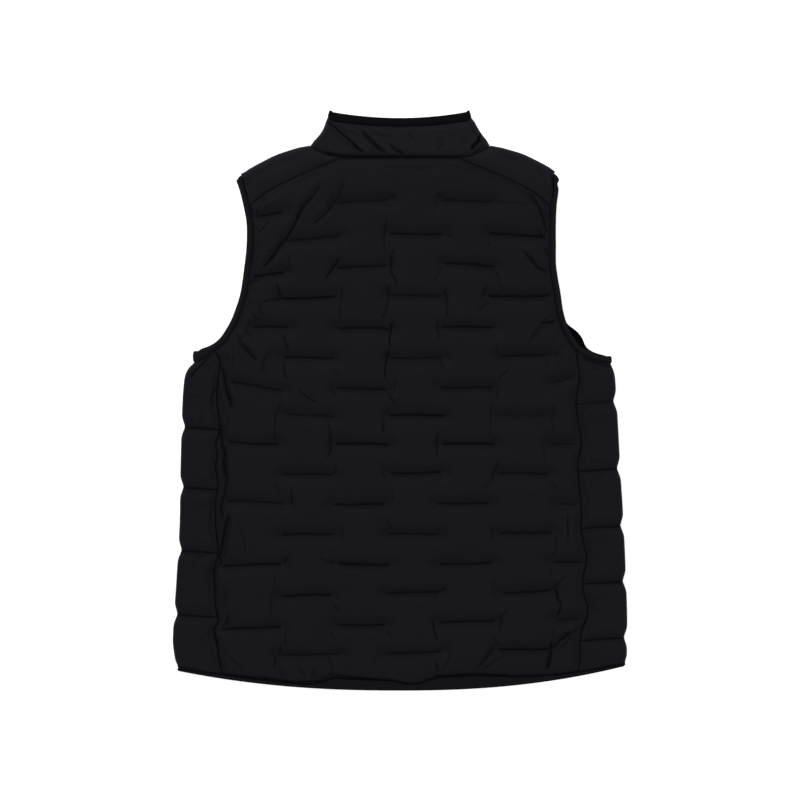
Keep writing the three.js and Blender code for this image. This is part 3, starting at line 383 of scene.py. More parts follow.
def resample(line: ndarray, pitch: float = 0.0, count: int = 0) -> ndarray:
    """Spaces a line's points evenly.

    Args:
        line: Its points, in two or three dimensions.
        pitch: The wanted spacing, or 0.
        count: The wanted number of points, or 0.

    Returns:
        The new points, with both ends kept.
    """
    run = np.concatenate([[0], np.cumsum(np.linalg.norm(np.diff(line, axis=0), axis=1))])
    total = count or max(2, int(round(run[-1] / pitch)) + 1)
    at = np.linspace(0, run[-1], total)
    return np.stack([np.interp(at, run, line[:, k]) for k in range(line.shape[1])], axis=1)


def closed_run(outline: ndarray, pitch: float) -> ndarray:
    """The points of a closed outline at an even pitch, with the first one again at the end."""
    return resample(np.concatenate([outline, outline[:1]]), pitch)


def beside(line: ndarray, distance: float | ndarray) -> ndarray:
    """Moves a plan line to the right of its own direction."""
    along = np.gradient(line, axis=0)
    along /= np.linalg.norm(along, axis=1, keepdims=True) + 1e-12
    return line + np.stack([along[:, 1], -along[:, 0]], axis=1) * distance


def at_height(line: ndarray, level: float) -> ndarray:
    """A plan line at one level."""
    return np.column_stack([line, np.full(len(line), level)])


def from_steps(places: list | ndarray) -> ndarray:
    """Turns places counted in steps into millimetres on the plan."""
    at = np.asarray(places, float)
    return np.stack([(at[..., 0] - CORNER) * STEP, (CORNER - at[..., 1]) * STEP], axis=-1)


def hem_shown(x: ndarray | float) -> ndarray:
    """How much of the hem band shows at an X."""
    rows = np.array(HEM_SHOWN, float)
    return np.interp(x, (rows[:, 0] - CORNER) * STEP, rows[:, 1])


def hem_edge(x: ndarray | float) -> ndarray:
    """The Y of the hem's lower edge at an X."""
    rise = np.where(np.asarray(x) < 0, HEM_RISE["left"], HEM_RISE["right"])
    return HEM_LOW + rise * (np.abs(x) / HEM_REFERENCE) ** HEM_POWER


class SeamPlan:
    """The seams of one half of the vest, as distance from the middle and Y."""

    def __init__(self, side: Side) -> None:
        """Works the curves out from the tables."""
        self.side = side
        name = self.side.value
        self.armhole = spline(ARMHOLE_SEAM[name], 361)
        share = np.clip((EASE_TOP - self.armhole[:, 1]) / (EASE_TOP - EASE_BOTTOM), 0, 1)
        ease = ARMHOLE_EASE[name] * np.sin(np.pi * share) ** 2
        self.armhole_front = beside(self.armhole, -ease[:, None])
        self.edge = spline(SIDE_EDGE[name])
        self.side_seam = spline(SIDE_SEAM[name])
        self.seam_run = spline(from_steps(SEAM_RUN[name]), 481) * np.array([self.side.sign, 1.0])
        self.junction = np.array([at_level(self.armhole, YOKE_JUNCTION), YOKE_JUNCTION])
        self.side_junction = np.array([at_level(self.armhole, SIDE_JUNCTION), SIDE_JUNCTION])

    @property
    def hem_fold(self) -> float:
        """How far out the hem folds from back to front."""
        return SIDE_EDGE[self.side.value][-1][0] - (PARTING + BAND_THICK) / 2

    def band_front(self, out: float) -> float:
        """How much of the hem band shows on the front, at a distance from the middle."""
        seam, fold = float(self.side_at(SIDE_FOOT)), self.hem_fold
        share = min(max((out - seam) / (fold - seam), 0.0), 1.0)
        return lerp(HEM_BAND_WIDTH, float(hem_shown(fold * self.side.sign)), share)

    def part(self, line: ndarray, top: float, bottom: float) -> ndarray:
        """The part of an armhole line between two levels, with its ends on them."""
        keep = line[(line[:, 1] < top) & (line[:, 1] > bottom)]
        ends = [np.array([[at_level(line, level), level]]) for level in (top, bottom)]
        return np.concatenate([ends[0], keep, ends[1]])

    def side_at(self, level: ndarray) -> ndarray:
        """How far out the side seam lies at a level."""
        return at_level(self.side_seam, np.clip(level, SIDE_FOOT, SIDE_JUNCTION))

    def sewn_at(self, level: ndarray) -> ndarray:
        """How far out the puckered side seam shows at a level."""
        return at_level(self.seam_run, np.clip(level, self.seam_run[-1, 1], SIDE_JUNCTION))

    def edge_at(self, level: ndarray) -> ndarray:
        """How far out the vest reaches at a level."""
        return at_level(self.edge, level)

    def yoke_back(self) -> ndarray:
        """The seam between the yoke and the back panel, from the neck to the armhole."""
        line = spline(YOKE_SEAM)
        line[-1] = self.junction
        return line

    def neck_back(self) -> ndarray:
        """The yoke's part of the back neck seam, from the back panel to the neck point."""
        share = np.linspace(0, 1, 41)
        line = lerp(np.array(NECK_JUNCTION), np.array(NECK_POINT), share[:, None])
        line[:, 1] -= 2.4 * np.sin(np.pi * share)
        return line

    def neck_front(self) -> ndarray:
        """The front neck seam, from the zip to the front yoke."""
        low = FRONT_NECK_LOW
        rows = [(ZIP_CHANNEL, low), (45, low + 5), (80, low + 24), FRONT_YOKE_END]
        return resample(spline(rows), count=61)

    def to_plan(self, line: ndarray) -> ndarray:
        """A line of this half with the sign of its X set."""
        return line * np.array([self.side.sign, 1.0])


PLANS = {side: SeamPlan(side) for side in Side}
SHIFT = np.array([
    (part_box("zip_box")[0].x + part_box("zip_box")[1].x) / 2 / MM,
    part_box("hem_band")[0].y / MM - HEM_LOW,
    0.0,
])


# Meshes


def deselect_all() -> None:
    """Leaves nothing selected."""
    for item in bpy.context.view_layer.objects:
        item.select_set(False)


def mesh_object(name: str, points: ndarray, faces: list) -> Object:
    """Makes an object from points in millimetres on the vest's plan.

    Args:
        name: The piece's name.
        points: Its points.
        faces: The corners of each face.

    Returns:
        The new object.
    """
    mesh = bpy.data.meshes.new(name)
    mesh.from_pydata(((points + SHIFT) * MM).tolist(), [], [list(map(int, f)) for f in faces])
    mesh.validate()
    mesh.update()
    obj = bpy.data.objects.new(name, mesh)
    bpy.context.scene.collection.objects.link(obj)
    return obj


def face_outwards(obj: Object) -> None:
    """Turns every face of a closed mesh outwards and shades it smooth."""
    deselect_all()
    bpy.context.view_layer.objects.active = obj
    obj.select_set(True)
    bpy.ops.object.mode_set(mode="EDIT")
    bpy.ops.mesh.select_all(action="SELECT")
    bpy.ops.mesh.normals_make_consistent(inside=False)
    bpy.ops.object.mode_set(mode="OBJECT")
    bpy.ops.object.shade_smooth()
    obj.select_set(False)


def keep_corners(obj: Object, corners: ndarray) -> None:
    """Keeps the edges between the given points sharp when the mesh is subdivided."""
    mesh = obj.data
    marked = np.zeros(len(mesh.vertices), bool)
    marked[corners] = True
    ends = np.empty(len(mesh.edges) * 2, int)
    mesh.edges.foreach_get("vertices", ends)
    sharp = marked[ends].reshape(-1, 2).all(axis=1).astype(np.float32)
    mesh.attributes.new("crease_edge", "FLOAT", "EDGE").data.foreach_set("value", sharp)


def read_points(obj: Object) -> ndarray:
    """A mesh's points, in millimetres on the plan."""
    flat = np.empty(len(obj.data.vertices) * 3)
    obj.data.vertices.foreach_get("co", flat)
    return flat.reshape(-1, 3) / MM - SHIFT


def write_points(obj: Object, points: ndarray, shade: ndarray) -> None:
    """Moves a mesh's points and stores the painted shade of each, darkest in the bottom of a seam or
    crease.

    Args:
        obj: The piece.
        points: The new places, in millimetres on the plan.
        shade: Painted shade, from 0 on open cloth to 1 in the bottom of a seam.
    """
    obj.data.vertices.foreach_set("co", ((points + SHIFT) * MM).reshape(-1))
    # seam_shade is painted shade: the material darkens the cloth's colour by it in seams and creases.
    obj.data.attributes.new("seam_shade", "FLOAT", "POINT").data.foreach_set("value", np.clip(shade, 0, 1))
    obj.data.update()


def inside(points: ndarray, outline: ndarray) -> ndarray:
    """Which points lie inside a closed outline."""
    x, y = points[:, 0:1], points[:, 1:2]
    a, b = outline, np.roll(outline, -1, axis=0)
    crosses = (a[None, :, 1] > y) != (b[None, :, 1] > y)
    rise = np.where(np.abs(b[:, 1] - a[:, 1]) < 1e-9, 1e-9, b[:, 1] - a[:, 1])
    reach = a[None, :, 0] + (y - a[None, :, 1]) / rise * (b[:, 0] - a[:, 0])
    return np.sum(crosses & (x < reach), axis=1) % 2 == 1


def find_nearest(points: ndarray, marks: ndarray) -> tuple:
    """The nearest mark in plan.

    Args:
        points: The places that ask.
        marks: The marks.

    Returns:
        How far each point is from its mark, and which mark that is.
    """
    tree = KDTree(len(marks))
    for i, (x, y) in enumerate(marks[:, :2]):
        tree.insert((x, y, 0.0), i)
    tree.balance()
    found = [tree.find((x, y, 0.0)) for x, y in points[:, :2]]
    return np.array([f[2] for f in found]), [f[1] for f in found]


def nearest(points: ndarray, marks: ndarray) -> ndarray:
    """How far each point is from the nearest mark, in plan."""
    return find_nearest(points, marks)[0]


def drawn_lines(rows: list, pitch: float, bow: float) -> tuple:
    """The lines of a table of (x, y, x, y, strength).

    Args:
        rows: The table, in steps.
        pitch: How far apart a line's points are, in millimetres.
        bow: The most that a line bends, in millimetres.

    Returns:
        The lines and their strengths.
    """
    lines = []
    for x0, y0, x1, y1, _ in rows:
        a, b = from_steps([(x0, y0), (x1, y1)])
        way = (b - a) / np.linalg.norm(b - a)
        share = np.linspace(0, 1, 33)[:, None]
        bend = bow * math.sin(0.37 * x0 + 0.71 * y0) * np.sin(np.pi * share)
        bend = bend + 0.35 * bow * math.sin(0.9 * x1 + y1) * np.sin(2 * np.pi * share)
        lines.append(resample(a + (b - a) * share + np.array([way[1], -way[0]]) * bend, pitch))
    return lines, [row[4] / 10 for row in rows]


@dataclass
class Marks:
    """Fine sewn or creased lines, as closely spaced places with a strength each."""

    lines: list
    strengths: list
    taper: float
    # Whether the marks' painted shade also falls on the layer that lies on the table, not only on the
    # padded skin.
    through: bool = False
    step: float = 0.5
    join: float = 3.0

    @classmethod
    def drawn(cls, rows: list, pitch: float, bow: float, taper: float) -> Marks:
        """The marks of a table, with the pitch, the bend and the taper of its lines."""
        return cls(*drawn_lines(rows, pitch, bow), taper)

    def met(self) -> list:
        """Whether the start and the end of each line meet the end of another one."""
        ends = np.array([[line[0], line[-1]] for line in self.lines])
        pairs = []
        for i, pair in enumerate(ends):
            others = np.delete(ends, i, axis=0).reshape(-1, 2)
            pairs.append([(np.linalg.norm(others - end, axis=1) < self.join).any() for end in pair])
        return pairs

    def reach(self, points: ndarray) -> tuple:
        """How far each point is from the nearest line, and how strong the line is there.

        Args:
            points: The places, in millimetres.

        Returns:
            The distances and the strengths.
        """
        places, powers = [], []
        for line, strength, (start_met, end_met) in zip(self.lines, self.strengths, self.met()):
            fine = resample(line, self.step)
            run = np.arange(len(fine)) * self.step
            whole = np.full(len(fine), self.taper)
            rest = np.minimum(whole if start_met else run, whole if end_met else run[-1] - run)
            places.append(fine)
            powers.append(strength * smooth(rest / self.taper + 0.05))
        away, which = find_nearest(points, np.concatenate(places))
        return away, np.concatenate(powers)[which]

    def parallels(self, offset: float, pitch: float) -> list:
        """Lines beside each line, on both sides."""
        return [resample(beside(line, way), pitch) for line in self.lines for way in (-offset, offset)]


class ClothMesh:
    """A flat piece of cloth cut to an outline, as an even net of triangles."""

    def __init__(self, outline: ndarray, marked: list, pitch: float, extra: list) -> None:
        """Fills the outline with points and joins them.

        Args:
            outline: The cut edge.
            marked: The stitched lines, whose points are kept.
            pitch: How far apart the net's points are.
            extra: More lines that the net follows.
        """
        fixed = np.concatenate([outline, *marked])
        loose = np.concatenate(extra) if extra else np.empty((0, 2))
        if len(loose):
            _, first = np.unique(np.round(loose / 0.9), axis=0, return_index=True)
            loose = loose[np.sort(first)]
            loose = loose[nearest(loose, fixed) > 0.7]
        low, high = outline.min(axis=0), outline.max(axis=0)
        rows = np.arange(low[1], high[1], pitch * math.sqrt(3) / 2)
        columns = np.arange(low[0], high[0] + pitch, pitch)
        grid = np.stack(np.meshgrid(columns, rows), axis=2)
        grid[1::2, :, 0] += pitch / 2
        grid = grid.reshape(-1, 2)
        grid = grid[inside(grid, outline)]
        grid = grid[nearest(grid, np.concatenate([fixed, loose])) > 0.62 * pitch]
        start = len(fixed)
        count = len(outline)
        loop = [(i, (i + 1) % count) for i in range(count)]
        every = np.concatenate([fixed, loose, grid])
        verts, _, faces, origin, _, _ = delaunay_2d_cdt([Vector(p) for p in every], loop, [], 1, 1e-5)
        place = {source: i for i, sources in enumerate(origin) for source in sources}
        self.points = np.array([(v.x, v.y) for v in verts])
        self.faces = np.array(faces)
        self.rim = np.array([place[i] for i in range(count)])
        self.stitched = np.array([place[i] for i in range(count, start)], int)

    def closed(self, heights: ndarray, base: float, moved: ndarray | None = None) -> tuple:
        """The closed piece between an uneven side and a flat one.

        Args:
            heights: The level of each point of the uneven side.
            base: The level of the flat side.
            moved: The uneven side's plan, where it isn't the flat one's.

        Returns:
            The points, the faces and which points lie on an edge.
        """
        plan = self.points if moved is None else moved
        top = np.column_stack([plan, heights])
        ring = np.column_stack([plan[self.rim], np.full(len(self.rim), base)])
        start, count = len(top), len(self.rim)
        faces = self.faces.tolist()
        loop = [(i, (i + 1) % count) for i in range(count)]
        flat = [Vector(p[:2]) for p in ring]
        _, _, floor, origin, _, _ = delaunay_2d_cdt(flat, loop, [], 1, 1e-5)
        for i, j in loop:
            faces.append([int(self.rim[i]), start + i, start + j, int(self.rim[j])])
        for triangle in floor:
            faces.append([start + origin[v][0] for v in reversed(triangle)])
        corners = np.concatenate([self.rim, np.arange(start, start + count)])
        return np.concatenate([top, ring]), faces, corners


@dataclass
class Filling:
    """How a padded skin is blown up between its stitched lines."""

    pressure: float
    slack: tuple
    bending: float
    frames: int

    def inflate(
        self, name: str, points: ndarray, faces: list, held: ndarray, size: float, seed: int
    ) -> ndarray:
        """Runs the cloth simulation on one skin and reads where it comes to rest.

        Args:
            name: The piece's name.
            points: The skin's points.
            faces: Its faces, turned the way the padding pushes.
            held: How firmly each point is stitched down, from 0 to 1.
            size: How far apart the places with more spare cloth are.
            seed: Which pattern they follow.

        Returns:
            The points after the simulation.
        """
        slack = np.clip(0.5 + 0.5 * value_noise(points, size, seed), 0, 1)
        skin = mesh_object(f"{name}_skin", points - SHIFT, faces)
        pins = skin.vertex_groups.new(name="stitched")
        spare = skin.vertex_groups.new(name="spare")
        for i, (pin, more) in enumerate(zip(held, slack)):
            if pin > 0.01:
                pins.add([i], float(pin), "REPLACE")
            spare.add([i], float(more), "REPLACE")
        modifier = skin.modifiers.new("Cloth", "CLOTH")
        settings = {
            "quality": 5, "mass": 0.3, "air_damping": 3.0, "tension_stiffness": 15.0,
            "compression_stiffness": 15.0, "shear_stiffness": 5.0, "bending_stiffness": self.bending,
            "vertex_group_mass": "stitched", "pin_stiffness": 1.0, "use_pressure": True,
            "uniform_pressure_force": self.pressure, "vertex_group_shrink": "spare",
            "shrink_min": -self.slack[0], "shrink_max": -self.slack[1],
        }
        for key, value in settings.items():
            setattr(modifier.settings, key, value)
        modifier.settings.effector_weights.gravity = 0.0
        modifier.collision_settings.use_collision = False
        modifier.collision_settings.use_self_collision = False
        modifier.point_cache.frame_start = 1
        modifier.point_cache.frame_end = self.frames
        for step in range(1, self.frames + 1):
            bpy.context.scene.frame_set(step)
        evaluated = skin.evaluated_get(bpy.context.evaluated_depsgraph_get())
        mesh = evaluated.to_mesh()
        co = np.empty(len(mesh.vertices) * 3)
        mesh.vertices.foreach_get("co", co)
        evaluated.to_mesh_clear()
        bpy.context.scene.frame_set(1)
        bpy.data.meshes.remove(skin.data)
        return co.reshape(-1, 3) / MM


def value_noise(points: ndarray, size: float, seed: int) -> ndarray:
    """Soft uneven values from -1 to 1 over the plan.

    Args:
        points: The places, in millimetres.
        size: How far apart the ups and downs are.
        seed: Which pattern is used.

    Returns:
        One value for each place.
    """
    rng = np.random.default_rng(seed)
    total = np.zeros(len(points))
    for _ in range(9):
        angle = rng.uniform(0, 2 * np.pi)
        length = size * rng.uniform(0.7, 1.6)
        way = np.array([math.cos(angle), math.sin(angle)])
        total += np.sin(2 * np.pi * (points[:, :2] @ way) / length + rng.uniform(0, 2 * np.pi))
    return np.clip(total / 4.5, -1, 1)


def trough_depth(points: ndarray, folds: list) -> ndarray:
    """How far soft creases draw each place in.

    Args:
        points: The places, in millimetres.
        folds: Each crease's two ends, its depth, its width and how far it bows.

    Returns:
        One depth for each place.
    """
    total = np.zeros(len(points))
    for start, end, depth, width, bow in folds:
        a, b = np.array(start, float), np.array(end, float)
        long = np.linalg.norm(b - a)
        way = (b - a) / long
        rel = points[:, :2] - a
        along = rel @ way
        across = rel @ np.array([way[1], -way[0]])
        across = across - bow * np.sin(np.pi * np.clip(along / long, 0, 1))
        ends = smooth(np.minimum(along, long - along) / (0.3 * long) + 0.2)
        lips = 0.35 * np.exp(-((np.abs(across) - 0.95 * width) / (0.45 * width)) ** 2)
        total += depth * ends * (np.exp(-((across / (0.5 * width)) ** 2)) - lips)
    return total


# Soft creases: each end in millimetres, the depth, the width and the bow.
BACK_FOLDS = [
    ((-102, 281), (-150, 207), 3.2, 8, 3),
    ((-148, 208), (-178, 172), 3.0, 8, -2),
    ((-71, 284), (-113, 227), 2.2, 7, -3),
    ((166, 270), (192, 213), 2.6, 7, -3),
    ((159, 194), (193, 163), 2.4, 7, 2),
    ((204, 106), (168, 72), 2.6, 6, 2),
    ((-229, 36), (-217, -12), 4.6, 7, 0),
    ((-231, -26), (-225, -110), 6.0, 7, 0),
    ((-229, -100), (-230, -150), 5.0, 6, 0),
    ((-220, -142), (-232, -212), 5.0, 7, 0),
    ((-224, -238), (-226, -294), 2.4, 6, 0),
    ((-205, 72), (-184, 50), 2.4, 7, 0),
    ((-183, 96), (-222, 60), 2.0, 7, 3),
    ((198, -313), (224, -297), 3.0, 6, 1),
    ((196, -314), (189, -350), 3.2, 6, 0),
    ((124, -320), (98, -348), 2.2, 6, 2),
]
COLLAR_FOLDS = [
    ((-95.5, 362), (-45, 319), 2.8, 5, 3),
    ((-48.7, 348), (-16, 319), 2.2, 5, 2),
    ((-68, 350), (-48, 328), 1.2, 5, 1),
    ((-14, 332), (2, 319), 1.5, 5, -1),
    ((57, 342), (46, 322), 1.5, 5, 1),
    ((105, 346), (101, 333), 3.0, 4, 0.5),
    ((102, 334), (91, 324), 3.0, 4, 0.5),
    ((12, 346), (26, 322), 1.0, 6, 1),
    ((72, 352), (84, 330), 1.0, 5, -1),
]


# Finishes


class Shader:
    """A small hand for wiring one node tree."""

    def __init__(self, tree: NodeTree) -> None:
        """Keeps the tree that is wired."""
        self.tree = tree

    def give(self, target: NodeSocket, value: object) -> None:
        """Feeds a socket from another one, or gives it a plain value."""
        if isinstance(value, NodeSocket):
            self.tree.links.new(value, target)
        else:
            target.default_value = value

    def node(self, kind: str, **settings: object) -> Node:
        """Adds a node.

        Args:
            kind: The node's type.
            settings: Properties by name, or inputs by name with spaces as underscores.

        Returns:
            The new node.
        """
        node = self.tree.nodes.new(kind)
        for key, value in settings.items():
            if hasattr(node, key):
                setattr(node, key, value)
            else:
                self.give(node.inputs[key.replace("_", " ")], value)
        return node

    def math(self, operation: str, first: object, second: object = None) -> NodeSocket:
        """A Math node's output.

        Args:
            operation: What it does.
            first: Its first socket or number.
            second: Its second one, where there is one.

        Returns:
            The output.
        """
        node = self.node("ShaderNodeMath", operation=operation)
        for socket, value in zip(node.inputs, (first, second)):
            if value is not None:
                self.give(socket, value)
        return node.outputs[0]

    def mix(self, share: NodeSocket, first: object, second: object) -> NodeSocket:
        """The colour a share of the way between two.

        Args:
            share: The share, from 0 to 1.
            first: The first colour, a socket or three numbers.
            second: The second one.

        Returns:
            The output.
        """
        node = self.node("ShaderNodeMix", data_type="RGBA", clamp_factor=True)
        self.give(node.inputs[0], share)
        for socket, colour in ((node.inputs[6], first), (node.inputs[7], second)):
            self.give(socket, colour if isinstance(colour, NodeSocket) else (*colour, 1.0))
        return node.outputs[2]

    def surface(self, **inputs: object) -> None:
        """Ends the tree with a main shader that has the given inputs."""
        shader = self.node("ShaderNodeBsdfPrincipled", **inputs)
        self.node("ShaderNodeOutputMaterial", Surface=shader.outputs[0])


def new_material(name: str) -> tuple:
    """Starts a material, and gives it with its hand and the place that its patterns read."""
    material = bpy.data.materials.new(name)
    material.use_nodes = True
    material.node_tree.nodes.clear()
    hand = Shader(material.node_tree)
    return material, hand, hand.node("ShaderNodeTexCoord").outputs["Object"]


def new_group(name: str, measure: str, result: str) -> tuple:
    """Makes a shader node group that reads a place and one measure.

    Args:
        name: The group's name.
        measure: The name of the measure's input.
        result: The name of its output.

    Returns:
        The group, its hand, its place, its measure and the socket for its result.
    """
    group = bpy.data.node_groups.new(name, "ShaderNodeTree")
    for key, way, kind in (
        ("Place", "INPUT", "Vector"), (measure, "INPUT", "Float"), (result, "OUTPUT", "Float"),
    ):
        group.interface.new_socket(name=key, in_out=way, socket_type=f"NodeSocket{kind}")
    hand = Shader(group)
    source, sink = hand.node("NodeGroupInput"), hand.node("NodeGroupOutput")
    return group, hand, source.outputs["Place"], source.outputs[measure], sink.inputs[result]


class Effects:
    """The shader effects that several finishes share, each a node group."""

    def __init__(self) -> None:
        """Builds each group once."""
        self.weave = self._weave()
        self.crumple = self._crumple()
        self.lint = self._lint()

    def _weave(self) -> NodeTree:
        """Fine crossed threads, as a height."""
        group, hand, place, thread, height = new_group("crossed_threads", "Thread", "Height")
        split = hand.node("ShaderNodeSeparateXYZ", Vector=place)
        turns = hand.math("DIVIDE", 2 * math.pi, thread)
        waves = [hand.math("SINE", hand.math("MULTIPLY", split.outputs[i], turns)) for i in (0, 1)]
        hand.give(height, hand.math("ADD", hand.math("MULTIPLY", hand.math("ADD", *waves), 0.25), 0.5))
        return group

    def _crumple(self) -> NodeTree:
        """Soft crumples of several sizes, as a height."""
        group, hand, place, size, height = new_group("soft_crumples", "Size", "Height")
        scale = hand.math("DIVIDE", 1.0, size)
        wide = hand.node(
            "ShaderNodeTexNoise", Vector=place, Scale=scale, Detail=3.0, Roughness=0.55, Distortion=0.6
        )
        scale = hand.math("MULTIPLY", scale, 3.6)
        fine = hand.node(
            "ShaderNodeTexNoise", Vector=place, Scale=scale, Detail=2.0, Roughness=0.5, Distortion=1.4
        )
        ridge = hand.math("ABSOLUTE", hand.math("SUBTRACT", fine.outputs["Fac"], 0.5))
        hand.give(height, hand.math("ADD", wide.outputs["Fac"], hand.math("MULTIPLY", ridge, 0.9)))
        return group

    def _lint(self) -> NodeTree:
        """A few pale specks and a slow change of tone, as one mask."""
        group, hand, place, amount, mask = new_group("lint_and_tone", "Amount", "Mask")
        slow = hand.node("ShaderNodeTexNoise", Vector=place, Scale=9.0, Detail=2.0, Roughness=0.5)
        fine = hand.node("ShaderNodeTexNoise", Vector=place, Scale=900.0, Detail=1.0, Roughness=0.5)
        speck = hand.math("MULTIPLY", hand.math("GREATER_THAN", fine.outputs["Fac"], 0.72), 0.12)
        hand.give(mask, hand.math("ADD", hand.math("MULTIPLY", slow.outputs["Fac"], amount), speck))
        return group


@dataclass(frozen=True)
class ClothFinish:
    """A woven cloth: its colours, its gloss, its threads and its crumples, and painted shade in its seams
    and creases.
    """

    name: str
    dark: tuple
    light: tuple
    roughness: float
    specular: float
    thread: float
    thread_depth: float
    crumple_size: float
    crumple_depth: float
    tone: float = 0.5

    def build(self, effects: Effects) -> Material:
        """Makes the material.

        Args:
            effects: The shared shader groups.

        Returns:
            The material.
        """
        material, hand, place = new_material(self.name)
        lint = hand.node("ShaderNodeGroup", node_tree=effects.lint, Place=place, Amount=self.tone)
        size = self.crumple_size
        crumple = hand.node("ShaderNodeGroup", node_tree=effects.crumple, Place=place, Size=size)
        weave = hand.node("ShaderNodeGroup", node_tree=effects.weave, Place=place, Thread=self.thread)
        # Painted shade: seam_shade mixes the colour towards a tenth of the dark tone in seams and creases.
        seam = hand.node("ShaderNodeAttribute", attribute_name="seam_shade").outputs["Fac"]
        mask = lint.outputs["Mask"]
        rough = hand.math("ADD", hand.math("MULTIPLY", mask, 0.12), self.roughness - 0.04)
        depth, height = self.crumple_depth, crumple.outputs[0]
        bump = hand.node("ShaderNodeBump", Strength=1.0, Distance=depth, Height=height).outputs[0]
        depth, height = self.thread_depth, weave.outputs[0]
        bump = hand.node("ShaderNodeBump", Strength=1.0, Distance=depth, Normal=bump, Height=height)
        hand.surface(
            Metallic=0.0, Specular_IOR_Level=self.specular, Normal=bump.outputs[0],
            Base_Color=hand.mix(seam, hand.mix(mask, self.dark, self.light), [0.1 * c for c in self.dark]),
            Roughness=hand.math("ADD", rough, hand.math("MULTIPLY", seam, 0.3)),
        )
        return material


@dataclass(frozen=True)
class HardFinish:
    """A painted or moulded hard finish with fine scuffs."""

    name: str
    colour: tuple
    scuffed: tuple
    roughness: float
    metallic: float

    def build(self) -> Material:
        """Makes the material.

        Returns:
            The material.
        """
        material, hand, place = new_material(self.name)
        scuff = hand.node("ShaderNodeTexNoise", Vector=place, Scale=420.0, Detail=4.0, Roughness=0.65)
        mask = hand.math("MULTIPLY", hand.math("SUBTRACT", scuff.outputs["Fac"], 0.42), 2.2)
        bump = hand.node("ShaderNodeBump", Strength=0.4, Distance=0.00004, Height=scuff.outputs["Fac"])
        hand.surface(
            Metallic=self.metallic, Normal=bump.outputs[0],
            Base_Color=hand.mix(mask, self.colour, self.scuffed),
            Roughness=hand.math("ADD", hand.math("MULTIPLY", mask, 0.15), self.roughness),
        )
        return material


BINDING_THREADS = (0.85, 0.02, 0.0009, 0.0001, 0.012, 0.0004)
CLOTHS = {
    "shell": (
        "woven_shell", (0.0065, 0.0062, 0.0090), (0.0082, 0.0078, 0.0112),
        0.6, 0.035, 0.00055, 0.00004, 0.034, 0.0005,
    ),
    # The yoke's cloth, also used for the collar, is smoother than the shell; its lighter colours are
    # painted light, standing in for the light that falls more strongly on the top of the vest.
    "yoke": (
        "smooth_yoke_cloth_painted_lighter", (0.0074, 0.0071, 0.0097), (0.0090, 0.0086, 0.0118),
        0.55, 0.045, 0.00055, 0.00003, 0.05, 0.0005,
    ),
    "binding": ("matte_binding", (0.0074, 0.0072, 0.0084), (0.0102, 0.0099, 0.0115), *BINDING_THREADS),
    "dark_binding": (
        "dark_collar_binding", (0.0034, 0.0033, 0.0039), (0.0049, 0.0048, 0.0056), *BINDING_THREADS,
    ),
    "hem_binding": ("hem_binding", (0.0060, 0.0058, 0.0074), (0.0084, 0.0081, 0.0102), *BINDING_THREADS),
    "thread": (
        "sewing_thread", (0.0040, 0.0040, 0.0048), (0.0070, 0.0070, 0.0080),
        0.7, 0.03, 0.0003, 0.00004, 0.01, 0.0001,
    ),
    "tape": (
        "zip_tape_weave", (0.0070, 0.0070, 0.0074), (0.0100, 0.0100, 0.0104),
        0.85, 0.03, 0.0008, 0.00012, 0.02, 0.0003,
    ),
}
HARD_PARTS = {
    "teeth": ("moulded_teeth", (0.007, 0.007, 0.0072), (0.014, 0.014, 0.0145), 0.38, 0.0),
    "metal": ("satin_black_paint", (0.011, 0.011, 0.0115), (0.03, 0.03, 0.031), 0.34, 0.55),
}


class Wardrobe:
    """Every finish of the vest, made once."""

    def __init__(self) -> None:
        """Builds the shared effects and the materials."""
        effects = Effects()
        for name, values in CLOTHS.items():
            setattr(self, name, ClothFinish(*values).build(effects))
        for name, values in HARD_PARTS.items():
            setattr(self, name, HardFinish(*values).build())


# Pieces


